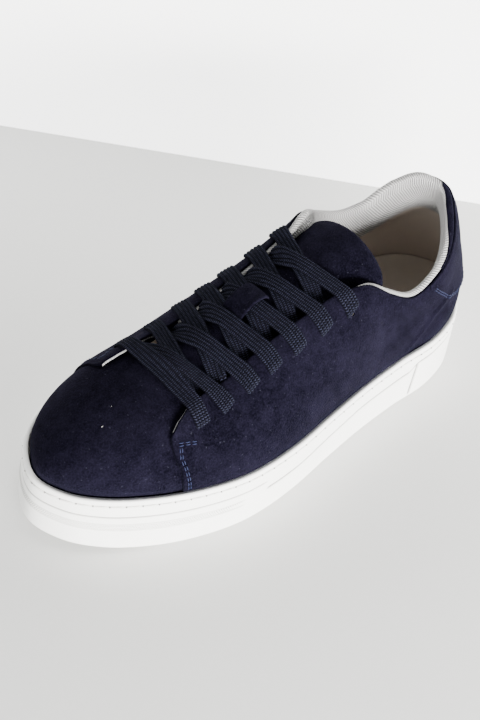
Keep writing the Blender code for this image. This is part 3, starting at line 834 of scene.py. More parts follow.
    def sample(self, turn: Array, level: Array) -> Arrays:
        """Reads the surface.

        Args:
            turn: Turns.
            level: Levels, of a shape that fits the turns'.

        Returns:
            The points and the unit normals.
        """
        turn, level = np.broadcast_arrays(np.asarray(turn, float), np.asarray(level, float))
        a = (turn % 1.0) * self.columns
        b = np.clip(level, 0.0, 1.0) * (self.rows - 1)
        i, j = np.floor(a).astype(int), np.minimum(np.floor(b), self.rows - 2).astype(int)
        fa, fb = (a - i)[..., None], (b - j)[..., None]
        i, k = i % self.columns, (i + 1) % self.columns
        found = []
        for grid in self.grid:
            low, high = (grid[row, i] * (1 - fa) + grid[row, k] * fa for row in (j, j + 1))
            found.append(low * (1 - fb) + high * fb)
        points, normals = found
        points[..., 2] += np.minimum(level, 0.0) * self.under
        return points, unit(normals)

    def at(self, turn: Array, level: Array, lift: Array | float = 0.0) -> Array:
        """Points at a height over the surface."""
        points, normals = self.sample(turn, level)
        return points + normals * np.broadcast_to(lift, points.shape[:-1])[..., None]

    def outside(self, points: Rows, lift: float = 2.0) -> Array:
        """Points of the surface nearest to given ones, at a height over it."""
        return self.at(*self.find(points), lift)

    @cached_property
    def tree(self) -> KDTree:
        """The surface's points, for finding the nearest, numbered row by row."""
        points = self.grid[0].reshape(-1, 3)
        tree = KDTree(len(points))
        for number, point in enumerate(points):
            tree.insert(point, number)
        tree.balance()
        return tree

    def find(self, points: Rows) -> Arrays:
        """Turns and levels of the surface nearest to points."""
        numbers = np.array([self.tree.find(point)[1] for point in points])
        return (numbers % self.columns) / self.columns, (numbers // self.columns) / (self.rows - 1)


LAST = Last()


class Skin:
    """The faces of a piece, for finding what is nearest or underneath."""

    def __init__(self, piece: Piece) -> None:
        """Reads a piece's mesh."""
        mesh = piece.data
        self.tree = BVHTree.FromPolygons([v.co.copy() for v in mesh.vertices],
                                         [tuple(p.vertices) for p in mesh.polygons])
        corners = np.array([v.co for v in mesh.vertices]) / MM
        self.low, self.high = corners.min(axis=0), corners.max(axis=0)

    def nearest(self, point: Array) -> Arrays:
        """The nearest place on the piece and its normal."""
        place, normal = self.tree.find_nearest(Vector(point) * MM)[:2]
        return np.array(place) / MM, np.array(normal)

    def top(self, x: float, y: float) -> float:
        """Height of the piece at a place, or NOTHING_THERE."""
        hit = self.tree.ray_cast(Vector((x, y, OVERHEAD)) * MM, Vector((0, 0, -1)))[0]
        return NOTHING_THERE if hit is None else hit.z / MM


class Ground:
    """A map of the heights that laces lie on, seen from above."""

    X = (-48.0, 42.0)
    Y = (-86.0, 48.0)
    STEP = 0.5

    def __init__(self, *skins: Skin) -> None:
        """Maps pieces."""
        self.xs = np.arange(*self.X, self.STEP)
        self.ys = np.arange(*self.Y, self.STEP)
        self.map = np.full((len(self.xs), len(self.ys)), NOTHING_THERE)
        for skin in skins:
            self.add(skin)

    @classmethod
    def highest(cls, *grounds: "Ground") -> "Ground":
        """One map of what is highest in several."""
        whole = cls()
        whole.map = np.maximum.reduce([ground.map for ground in grounds])
        return whole

    def add(self, skin: Skin) -> None:
        """Adds one more piece."""
        columns = np.flatnonzero((self.xs > skin.low[0]) & (self.xs < skin.high[0]))
        rows = np.flatnonzero((self.ys > skin.low[1]) & (self.ys < skin.high[1]))
        for i, j in product(columns, rows):
            self.map[i, j] = max(self.map[i, j], skin.top(self.xs[i], self.ys[j]))

    def heights(self, places: Array) -> Array:
        """The highest point of the map within a step of each place."""
        i, j = (np.clip(((places[..., axis] - start) / self.STEP).round().astype(int), 1, size - 2)
                for axis, (start, size) in enumerate(zip((self.X[0], self.Y[0]), self.map.shape)))
        return np.max([self.map[i + a, j + b] for a, b in product((-1, 0, 1), repeat=2)], axis=0)


# ---- soft shapes of the leather ----
@dataclass(frozen=True)
class Crease:
    """A soft trough in the leather, or a ridge where its depth is below zero."""

    path: Rows
    depth: float
    width: float
    end: float = 0.06

    def height(self, points: Array) -> Array:
        """How much it raises points of the surface, less towards its ends."""
        gap, along = distance_to(points, np.asarray(self.path, float))
        fade = np.sin(np.pi * (self.end + (1 - 2 * self.end) * along)) ** 0.5
        return -self.depth * fade * np.exp(-((gap / self.width) ** 2))


CREASES = (
    # the flex of the heel counter, lateral side: a thin ridge and the hollow behind it
    Crease(((28.8, 96.5, 63.5), (29.5, 91.3, 60.1), (31.3, 82.7, 56.1), (31.7, 76.5, 47.4),
            (31.4, 69.1, 37.7)), -1.3, 1.6),
    Crease(((28.3, 99.8, 49.9), (30.2, 92.5, 49.0), (31.0, 83.0, 41.6), (30.8, 78.5, 37.0)), 2.7, 6.0),
    # the same, fainter, on the medial side
    Crease(((-31.0, 92.0, 60.0), (-32.4, 82.0, 54.0), (-33.0, 72.0, 42.0)), -0.5, 1.8),
    Crease(((-30.5, 99.0, 49.0), (-32.4, 87.0, 44.0), (-32.6, 80.0, 38.0)), 0.9, 5.5),
    # the waist under the collar
    Crease(((30.5, 40.0, 62.0), (31.5, 54.0, 57.0), (31.5, 66.0, 60.0)), 0.9, 9.0),
    Crease(((33.0, 30.0, 55.0), (33.5, 42.0, 46.0), (32.5, 58.0, 41.0)), -0.5, 7.0),
    Crease(((-32.0, 40.0, 66.0), (-33.5, 54.0, 60.0), (-33.5, 68.0, 62.0)), 0.8, 9.0),
    # flex lines in front of the lateral facing
    Crease(((34.0, -58.0, 54.0), (40.0, -44.0, 47.0), (42.5, -30.0, 42.0)), 0.5, 6.0),
    Crease(((33.5, -20.0, 62.0), (38.0, -8.0, 54.0), (38.0, 8.0, 46.0)), 0.45, 7.0),
    # the gap along the front edges of the quarters
    Crease(((34.9, -78.9, 33.0), (34.2, -79.4, 40.8), (32.6, -79.5, 45.9), (30.6, -80.4, 49.8),
            (27.2, -80.7, 55.0), (22.8, -79.2, 59.7), (19.6, -73.4, 62.5)), 0.9, 0.8),
    Crease(((-41.9, -82.9, 33.0), (-39.4, -82.9, 45.0), (-35.5, -82.9, 52.0), (-30.5, -82.3, 58.0),
            (-24.2, -80.9, 63.4)), 0.9, 0.8),
    # vamp: the edge of the toe puff just above the sole, and shallow dents in the toe
    Crease(((24.0, -103.0, 37.8), (26.5, -98.0, 37.6), (30.0, -91.1, 37.2), (33.8, -82.6, 36.5)),
           -0.55, 0.9),
    Crease(((20.0, -104.0, 41.5), (26.0, -96.0, 41.5), (31.0, -86.0, 40.5)), 0.45, 3.0),
    Crease(((-4.0, -96.0, 62.0), (10.0, -92.0, 61.0), (20.0, -86.0, 57.0)), 0.5, 7.0),
    Crease(((-20.0, -100.0, 58.0), (-8.0, -104.0, 59.0), (6.0, -105.0, 57.0)), -0.4, 8.0),
    Crease(((-34.0, -92.0, 52.0), (-28.0, -100.0, 53.0), (-18.0, -110.0, 51.0)), 0.4, 6.0),
)
# Each side panel's lines: its front edge from the sole up, the facing's edge, and its stitches.
SEAMS = {
    Side.LATERAL: (
        ((35.6, -77.8, 33.0), (35.0, -78.3, 40.8), (33.4, -78.5, 45.9), (31.3, -79.5, 49.8),
         (27.7, -79.8, 55.0), (23.3, -78.4, 59.7)),
        ((20.5, -73.0, 62.5), (18.0, -66.0, 64.8), (16.6, -56.0, 67.0)),
        ((36.7, -75.0, 33.4), (36.0, -75.5, 40.3), (33.8, -76.3, 46.7), (30.9, -77.1, 51.9),
         (27.5, -75.8, 56.7), (28.8, -71.9, 56.4), (30.2, -67.7, 55.9))),
    Side.MEDIAL: (
        ((-42.5, -82.0, 33.0), (-42.0, -82.0, 38.0), (-40.0, -82.0, 45.0), (-36.0, -82.0, 52.0),
         (-31.0, -81.5, 58.0), (-24.6, -80.2, 63.4)),
        ((-23.9, -74.0, 65.0), (-23.7, -67.8, 65.9), (-23.4, -56.0, 67.2)),
        ((-42.5, -78.2, 33.4), (-42.0, -78.2, 38.0), (-40.0, -78.2, 45.0), (-36.0, -77.7, 52.0),
         (-31.5, -77.5, 57.5), (-28.0, -76.5, 60.5), (-29.5, -72.0, 60.5), (-31.0, -67.5, 60.0))),
}
# The heel tab's lower edge on the lateral side, from the collar to the heel.
TAB_EDGE = ((29.6, 73.7, 77.0), (30.3, 81.4, 69.7), (29.5, 91.3, 60.1), (27.2, 101.5, 55.3),
            (20.0, 114.0, 53.5), (8.0, 122.0, 53.2))


def creased(points: Array, normals: Array, extra: Array | float = 0.0) -> Array:
    """Points raised along their normals by the creases and by something more."""
    height = sum(crease.height(points) for crease in CREASES) + extra
    return points + normals * height[..., None]


def rounding(distance: Array, radius: float) -> Array:
    """How high a rounded edge is at a distance from its end: 0 at the end, 1 from its radius on."""
    share = np.clip(distance / radius, 0.0, 1.0)
    return np.sqrt(np.clip(1 - (1 - share) ** 2, 0.0, 1.0))


def at_least(least: float, share: Array) -> Array:
    """A share from 0 to 1, brought between a least value and 1."""
    return least + (1 - least) * share


def drawn_in(levels: Array, amount: float) -> Array:
    """How far a panel is drawn in at its foot, behind the sole's rim."""
    return amount * (1 - ramp(0.0, 0.06, levels))


def collar_swell(below: Array) -> Array:
    """How much the collar's foam pushes out, from 0 to 1, at depths under the top edge."""
    return ramp(0.0, 6.0, below) * ramp(24.0, 9.0, below)


def panel(points: Array, normals: Array, base: Array, thickness: Array) -> Arrays:
    """Top and bottom of a suede panel that lies on the creased surface at a height."""
    return creased(points, normals, base + thickness), creased(points, normals, base)


# ---- cup sole ----
@dataclass(frozen=True)
class Groove:
    """A groove along the sole's wall: its share of the wall's height at each y, and its section."""

    line: Rows
    depth: float
    width: float
    fade_out: float = 3.0
    fade_in: float = 1.0

    def depth_at(self, share: Array, y: Array, height: Array) -> Array:
        """Depth at places on the wall, by share of its height, y and its height there."""
        ys, shares = np.asarray(self.line, float).T
        gap = np.abs(share - np.interp(y, ys, shares)) * height
        inside = (ramp(ys[0] - self.fade_out, ys[0] + self.fade_in, y)
                  * ramp(ys[-1] + self.fade_out, ys[-1] - self.fade_in, y))
        return self.depth * inside * np.exp(-((gap / self.width) ** 4))


@dataclass(frozen=True)
class Slash:
    """The slanting cut across the wall where the heel section starts."""

    y: float = 78.5
    width: float = 0.75
    depth: float = 0.9
    lean: float = 3.0
    middle: float = 0.4
    foot: Pair = (0.06, 0.10)
    top: Pair = (0.72, 0.68)

    def depth_at(self, share: Array, y: Array) -> Array:
        """Depth at places on the wall, by share of its height and y."""
        section = np.exp(-(((y - self.y - (share - self.middle) * self.lean) / self.width) ** 2))
        return self.depth * section * ramp(*self.foot, share) * ramp(*self.top, share)


@dataclass
class CupSole:
    """Thick rubber cup: grooved wall, stitched rim, knurled toe band and treaded underside."""

    columns: int = 720
    foot_shares: tuple[float, ...] = (0.0, 0.012, 0.03, 0.055)
    wall_shares: tuple[float, float, int] = (0.08, 0.965, 62)
    rim_shares: tuple[float, ...] = (0.98, 0.99, 0.997, 1.0)
    well_shares: tuple[float, ...] = (0.0, 0.05, 0.5, 1.0)
    lip: float = 2.3
    foot_radius: float = 2.2
    rim_radius: float = 0.8
    across: int = 22
    tread_depth: float = 2.4
    tread_width: float = 3.0
    tread_edge: float = 1.0
    tread_margin: float = 8.0
    treads: tuple[float, ...] = (*np.linspace(-92, -12, 8), *np.linspace(66, 110, 5))
    stitch_share: float = 0.895
    grooves: tuple[Groove, ...] = (
        Groove(((-140, 0.895), (140, 0.895)), 0.36, 0.60),
        Groove(((-140, 0.67), (-60, 0.67), (-36, 0.665)), 0.75, 0.50),
        Groove(((-32, 0.51), (-15, 0.51), (4, 0.54), (22, 0.57), (37, 0.605), (60, 0.605), (74, 0.61),
                (79, 0.72), (84, 0.735), (140, 0.735)), 0.95, 0.62),
        Groove(((-140, 0.40), (-70, 0.40), (-48, 0.41)), 0.32, 0.42),
        Groove(((-140, 0.52), (-70, 0.52), (-48, 0.51)), 0.32, 0.42),
    )
    slash: Slash = Slash()

    def wall(self, turns: Array, share: Array) -> Array:
        """Points of the wall, grooves included, from the floor (0) to the rim (1)."""
        return self.cut_wall(turns, share)[0]

    def cut_wall(self, turns: Array, share: Array) -> Arrays:
        """Works out the wall with its grooves.

        Args:
            turns: Turns.
            share: How far up the wall, from 0 to 1.

        Returns:
            The points, and how deep the grooves are there.
        """
        y = LAST.ring(turns, 0.0)[..., 1]
        floor, rim = (height(y.ravel()).reshape(y.shape) for height in (LAST.floor_height, LAST.rim_height))
        height = rim - floor
        depth = sum(groove.depth_at(share, y, height) for groove in self.grooves)
        depth = depth + self.slash.depth_at(share, y)
        bottom = self.foot_radius * (1 - rounding(share * height, self.foot_radius))
        top = self.rim_radius * (1 - rounding((1 - share) * height, self.rim_radius))
        inset = share * LAST.wall_draft + depth + bottom + top
        return np.concatenate([LAST.ring(turns, inset), (floor + share * height)[..., None]], axis=-1), depth

    def build(self) -> Piece:
        """Makes the sole."""
        weave = Weave()
        turns = np.arange(self.columns)[None, :] / self.columns
        shares = np.concatenate([self.foot_shares, np.linspace(*self.wall_shares), self.rim_shares])[:, None]
        wall, depth = self.cut_wall(*np.broadcast_arrays(turns, shares))
        inner = LAST.ring(turns[0], LAST.wall_draft + self.lip)
        bed = LAST.bed_height(inner[:, 1])
        rim = wall[-1, :, 2]
        well = [np.column_stack([inner, rim + (bed - rim) * share]) for share in self.well_shares]
        # the grooves' depth goes with the mesh, and the rubber paints shade by it
        flat = np.zeros((len(wall) + len(well), self.columns, 2))
        flat[:len(wall), :, 0] = depth
        rings = weave.add(np.concatenate([wall, np.stack(well)]), flat)
        weave.skin(rings, around=True)
        self.cap(weave, rings[0], wall[0], self.under)
        self.cap(weave, rings[-1], well[-1], lambda x, y, centre: LAST.bed_height(y), flip=True)
        return mount(weave.build("cup_sole", Finish.RUBBER), "sole_rubber", "sole")

    def under(self, x: Array, y: Array, centre: Array) -> Array:
        """Height of the underside, with its tread, at places so near the centre line."""
        _, lateral, medial = lookup(OUTLINE, y).T
        border = np.minimum(lateral - x, x - medial)
        inside = ramp(self.tread_margin, self.tread_margin + self.tread_edge, border)
        low, high = ((self.tread_width + sign * self.tread_edge) / 2 for sign in (-1, 1))
        cut = sum(ramp(high, low, np.abs(y - place)) for place in self.treads)
        return LAST.floor_height(y, centre) + self.tread_depth * cut * inside

    def cap(self, weave: Weave, ring: Array, points: Array, height: Callable[..., Array],
            flip: bool = False) -> None:
        """Closes a ring with rows from side to side.

        Args:
            weave: The mesh so far.
            ring: Numbers of the ring's points.
            points: The points.
            height: Gives heights of the rows at x, y and centre.
            flip: Whether the faces look the other way.
        """
        half = self.columns // 2
        left, right = np.arange(1, half), np.arange(self.columns - 1, half, -1)
        share = np.linspace(0, 1, self.across + 1)[None, 1:-1, None]
        between = points[left][:, None] * (1 - share) + points[right][:, None] * share
        centre = np.sin(np.pi * share[..., 0]) * np.ones((len(left), 1))
        x, y = between[..., 0].ravel(), between[..., 1].ravel()
        between[..., 2] = np.asarray(height(x, y, centre.ravel())).reshape(between.shape[:-1])
        inside = weave.add(between)
        grid = np.concatenate([ring[left][:, None], inside, ring[right][:, None]], axis=1)
        weave.skin(grid, flip=flip)
        for tip, row, turn in ((ring[0], grid[0], flip), (ring[half], grid[-1], not flip)):
            weave.skin(np.stack([np.full_like(row, tip), row]), flip=turn)


@dataclass
class Knurl:
    """The band of small pyramids round the toe's wall, smaller towards its ends."""

    sole: CupSole
    end_y: float = -46.0
    fade: float = 14.0
    pitch: float = 1.3
    shares: tuple[float, ...] = (0.43, 0.46, 0.49)
    size: float = 0.58
    rise: float = 0.45
    root: float = 0.15
    # how much painted shade the pyramids' feet get, between the pyramids
    recess_shade: float = 0.75

    def build(self) -> None:
        """Makes the band."""
        weave = Weave()
        lateral, medial = LAST.ends(self.end_y)
        for row, share in enumerate(self.shares):
            turns = LAST.turns(medial - 1, lateral, self.pitch)
            turns = (turns + (row % 2) * 0.5 * self.pitch / LAST.girth) % 1.0
            level = np.full_like(turns, share)
            fade = ramp(self.end_y, self.end_y - self.fade, LAST.ring(turns, 0)[:, 1])
            base = self.sole.wall(turns, level)
            ahead = unit(self.sole.wall(turns + 1e-3, level) - base)
            out = unit(np.cross(ahead, UP))
            size = (self.size * at_least(0.5, fade))[:, None]
            tip = weave.add(base + out * (self.rise * fade)[:, None])
            # the feet carry the painted shade between the pyramids
            feet = [weave.add(base - out * self.root + ahead * size * a + UP * size * b,
                              np.full((len(turns), 2), self.recess_shade))
                    for a, b in ((-1, 0), (0, -1), (1, 0), (0, 1))]
            for a, b in zip(feet, feet[1:] + feet[:1]):
                weave.quads(a, b, tip, tip)
            weave.quads(*feet[::-1])
        mount(weave.build("toe_knurl", Finish.RUBBER), "sole_rubber")


# ---- suede panels ----
@dataclass
class Vamp:
    """The toe panel, which runs back under the quarters and the laces."""

    end_y: float = -44.0
    lift: float = -0.6
    thickness: float = 1.2
    tuck: float = 0.2
    hidden: float = 7.0
    step: float = 0.9
    rows: int = 84
    apron: float = 10.0
    apron_rows: int = 10
    apron_y: Pair = (-80.0, -92.0)

    def build(self) -> Piece:
        """Makes the panel."""
        lateral, medial = LAST.ends(self.end_y)
        turns = LAST.turns(medial - 1, lateral, self.step)[None, :]
        levels = np.concatenate([LAST.hidden(self.hidden), np.linspace(0, 1, self.rows)])
        points, normals = LAST.sample(turns, levels[:, None])
        top = self.lift - drawn_in(levels, self.tuck)[:, None]
        foot = LAST.ring(turns[0], LAST.upper_inset)[:, 1]
        reach = self.apron * ramp(*self.apron_y, foot)
        faces = []
        for rows in panel(points, normals, top - self.thickness, self.thickness):
            ahead = unit(rows[-1] - rows[-4])
            more = [rows[-1] + ahead * (reach * share)[:, None]
                    for share in np.linspace(0, 1, self.apron_rows + 1)[1:]]
            faces.append(np.concatenate([rows, np.stack(more)]))
        return mount(sheet("vamp", Finish.SUEDE, *faces), "suede", "upper")


@dataclass
class Quarter:
    """One side panel, about RUN long from the vamp's seam to the heel, with its row of punched eyelets."""

    side: Side
    seam: Rows
    facing: Rows
    stitches: Rows
    lift: float = -0.45
    thickness: float = 0.95
    tuck: float = 0.25
    hidden: float = 7.0
    edge: float = 0.8
    edge_left: float = 0.35
    cut_width: float = 0.7
    run: float = 210.0
    near: tuple[float, ...] = (0.0, 0.3, 0.8, 1.5, 2.4)
    columns: int = 205
    rows: int = 66
    stand: float = 2.0
    stand_reach: float = 7.0
    stand_levels: Pair = (-0.10, 0.06)
    collar_y: Pair = (34.0, 50.0)
    swell: float = 0.8
    hole: float = 1.2
    skin: Skin | None = None

    @cached_property
    def border(self) -> Arrays:
        """Levels and turns of its front edge, from the sole to the throat."""
        turns, levels = LAST.find([*self.seam, *self.facing])
        order = np.argsort(levels)
        return levels[order], turns[order]

    @cached_property
    def corner(self) -> float:
        """Level of the facing's front corner."""
        return float(LAST.find([self.seam[-1]])[1][0])

    def grid(self, shares: Array, levels: Array) -> Arrays:
        """Turns and levels of its places, by share of the way from its front edge to the heel."""
        keys, turns = self.border
        front = np.interp(levels, keys, turns)[:, None]
        return front + (0.5 - front) * shares[None, :], levels[:, None] * np.ones((1, len(shares)))

    def standing(self, points: Array, levels: Array) -> Array:
        """How far the facing stands off the vamp."""
        gap, _ = distance_to(points, np.asarray([self.seam[-1], *self.facing], float))
        above = ramp(*(self.corner + step for step in self.stand_levels), levels)
        return self.stand * np.exp(-((gap / self.stand_reach) ** 2)) * above

    def build(self) -> Piece:
        """Makes the panel."""
        near = np.array(self.near)
        shares = np.concatenate([near[:4] / self.run, np.linspace(near[4] / self.run, 1, self.columns)])
        levels = np.concatenate([LAST.hidden(self.hidden), np.linspace(0, 0.97, self.rows), [self.corner],
                                 1 - near[:3] / LAST.height])
        levels.sort()
        turn, level = self.grid(shares, levels)
        points, normals = LAST.sample(turn, level)
        below = (1 - level) * LAST.height
        border = np.minimum(below, shares[None, :] * self.run)
        swell = self.swell * ramp(*self.collar_y, points[..., 1]) * collar_swell(below)
        base = self.lift + self.standing(points, level) + swell - drawn_in(level, self.tuck)
        thickness = self.thickness * at_least(self.edge_left, rounding(border, self.edge))
        cut = np.exp(-((border / self.cut_width) ** 2))
        piece = sheet(f"quarter_{self.side.label}", Finish.SUEDE,
                      *panel(points, normals, base, thickness), np.stack([cut, cut], axis=-1))
        self.skin = Skin(piece)
        punch(piece, self.side, self.hole)
        return mount(piece, "suede", "upper")


@dataclass
class Facing:
    """The thin lining under a quarter's front edge, of which a little shows.

    It starts OUT before the quarter's edge and START over its corner's level, and lies no lower than LEAST.
    """

    quarter: Quarter
    out: float
    start: float
    width: float = 9.0
    top: float = 0.995
    columns: int = 14
    rows: int = 46
    gap: float = 0.05
    thickness: float = 0.9
    least: Pair = (-0.38, -0.55)
    hole_margin: float = 1.6
    weave_height: float = 20.0

    def build(self) -> None:
        """Makes the lining."""
        quarter = self.quarter
        shares = np.linspace(-self.out, self.width, self.columns) / quarter.run
        levels = np.linspace(quarter.corner + self.start, self.top, self.rows)
        turn, level = quarter.grid(shares, levels)
        points, normals = LAST.sample(turn, level)
        top = np.maximum(quarter.standing(points, level) + quarter.lift - self.gap, self.least[0])
        low = np.maximum(top - self.thickness, self.least[1])
        flat = np.stack([turn * LAST.girth, (1 - level) * self.weave_height], axis=-1)
        piece = sheet(f"facing_lining_{quarter.side.label}", Finish.LINING,
                      *panel(points, normals, low, top - low), flat)
        punch(piece, quarter.side, quarter.hole + self.hole_margin)
        mount(piece, "lining_textile")


def eyelet(number: int, side: Side) -> Array:
    """Place of an eyelet's middle, seen from above."""
    return np.array(side.pick((EYELETS[number][:2], EYELETS[number][2:])))


@dataclass
class Throat:
    """The upper's surface near the throat, found from above."""

    side: Side
    front_y: float = -80.0
    patch_y: Pair = (-90.0, 60.0)
    patch_levels: Pair = (0.5, 1.0)

    @cached_property
    def edge(self) -> Array:
        """Points of the throat's edge, with y rising."""
        return LAST.at(np.linspace(LAST.turn_at(self.front_y, self.side), 0.5, 400), 1.0)

    def edge_at(self, y: float) -> Array:
        """The edge's point at a y."""
        return np.array([np.interp(y, self.edge[:, 1], self.edge[:, k]) for k in (0, 1, 2)])

    @cached_property
    def patch(self) -> Arrays:
        """Points and normals of the side, for finding what is at a place."""
        turns = np.linspace(*(LAST.turn_at(y, self.side) for y in self.patch_y), 500)[None, :]
        points, normals = LAST.sample(turns, np.linspace(*self.patch_levels, 120)[:, None])
        return points.reshape(-1, 3), normals.reshape(-1, 3)

    def under(self, place: Array) -> Arrays:
        """The surface's point and normal at a place seen from above."""
        points, normals = self.patch
        number = int(np.argmin(np.hypot(*(points[:, :2] - place).T)))
        return points[number], normals[number]


THROATS = {side: Throat(side) for side in Side}


def punch(piece: Piece, side: Side, radius: float) -> None:
    """Cuts the eyelets of one side through a piece.

    Args:
        piece: The closed mesh to cut.
        side: Whose eyelets.
        radius: The holes' radius in millimetres.
    """
    weave = Weave()
    for number in range(len(EYELETS)):
        place, normal = THROATS[side].under(eyelet(number, side))
        across = unit(np.cross(normal, (0.0, 1.0, 0.0)))
        weave.rod(place + normal * np.array([[PUNCH_REACH], [-PUNCH_REACH]]), across,
                  np.cross(normal, across), radius, 24)
    cutter = weave.build(f"{piece.name}_punch", Finish.SUEDE)
    boolean = piece.modifiers.new("punch", "BOOLEAN")
    boolean.operation, boolean.solver, boolean.object = "DIFFERENCE", "EXACT", cutter
    settle(piece)
    bpy.data.meshes.remove(cutter.data)
    piece.data.set_sharp_from_angle(angle=1.0)


def settle(piece: Piece) -> None:
    """Applies a piece's modifiers."""
    graph = bpy.context.evaluated_depsgraph_get()
    graph.update()
    mesh = bpy.data.meshes.new_from_object(piece.evaluated_get(graph))
    old, piece.data = piece.data, mesh
    name = old.name
    piece.modifiers.clear()
    bpy.data.meshes.remove(old)
    mesh.name = name


@dataclass
class HeelTab:
    """The overlay round the back of the collar."""

    edge: Rows
    lift: float = 0.5
    thickness: float = 0.9
    round_edge: float = 0.8
    edge_left: float = 0.3
    swell: float = 0.8
    step: float = 0.8
    end: float = 0.0015
    low_shares: tuple[float, ...] = (0.0, 0.006, 0.016, 0.03)
    shares: tuple[float, float, int] = (0.05, 0.96, 48)
    top_shares: tuple[float, ...] = (0.985, 0.994, 1.0)
    thread_end: float = 0.006
    thread_lift: float = 1.8
    thread_top: float = 0.98

    @cached_property
    def lower(self) -> Arrays:
        """Turns and levels of its lower edge, side to side."""
        turns, levels = LAST.find(self.edge)
        keys = np.concatenate([turns, 1 - turns[::-1]])
        return keys, np.concatenate([levels, levels[::-1]])

    def inside(self, distance: float) -> Array:
        """A line at a distance inside its lower edge, a little over the surface."""
        keys, levels = self.lower
        turns = spaced(keys[0] + self.thread_end, keys[-1] - self.thread_end, 1e-3)
        level = np.interp(turns, keys, levels) + distance / LAST.height
        return LAST.at(turns, np.minimum(level, self.thread_top), self.thread_lift)

    def build(self) -> Piece:
        """Makes the overlay."""
        keys, lows = self.lower
        turns = LAST.turns(keys[0] + self.end, keys[-1] - self.end, self.step)[None, :]
        low = np.interp(turns[0], keys, lows)[None, :]
        share = np.concatenate([self.low_shares, np.linspace(*self.shares), self.top_shares])[:, None]
        level = low + (1 - low) * share
        below, above = (1 - level) * LAST.height, (level - low) * LAST.height
        rim = rounding(np.minimum(below, above), self.round_edge)
        base = self.lift + self.swell * collar_swell(below)
        faces = panel(*LAST.sample(turns, level), base, self.thickness * at_least(self.edge_left, rim))
        return mount(sheet("heel_tab", Finish.SUEDE, *faces), "suede")


@dataclass
class CollarWrap:
    """The suede rolled over the padded collar, by REACH at each y, from the lateral side to the heel."""

    lining: "Lining"
    reach: Rows = ((80.0, 0.0), (88.0, 0.3), (93.0, 1.6), (98.0, 3.3), (104.0, 3.9), (108.0, 3.0),
                   (110.5, 1.2))
    start_y: float = 86.0
    end: float = 0.505
    fade: Pair = (0.507, 0.495)
    step: float = 0.9
    first: float = -0.9
    over: float = 0.25
    rows: int = 18
    lift: Pair = (0.02, 0.05)
    thickness: float = 0.85
    round_edge: float = 0.7
    edge_left: float = 0.2

    def build(self) -> None:
        """Makes the roll."""
        turns = LAST.turns(LAST.turn_at(self.start_y, Side.LATERAL), self.end, self.step)
        centre, normal, up, radius = self.lining.roll(turns)
        wrap = np.interp(centre[:, 1], *np.asarray(self.reach).T) * ramp(*self.fade, turns)
        outer = radius + 0.5
        sweep = self.over + wrap / outer - self.first
        share = np.linspace(0, 1, self.rows)[:, None]
        angle = (self.first + sweep * share)[..., None]
        out = normal * np.cos(angle) + up * np.sin(angle)
        rim = rounding((1 - share) * sweep * outer, self.round_edge)
        low = np.full_like(rim, self.lift[0])
        top = self.lift[1] + self.thickness * at_least(self.edge_left, rim)
        faces = (centre + out * (radius + lift)[..., None] for lift in (top, low))
        mount(sheet("collar_wrap", Finish.SUEDE, *faces), "suede")


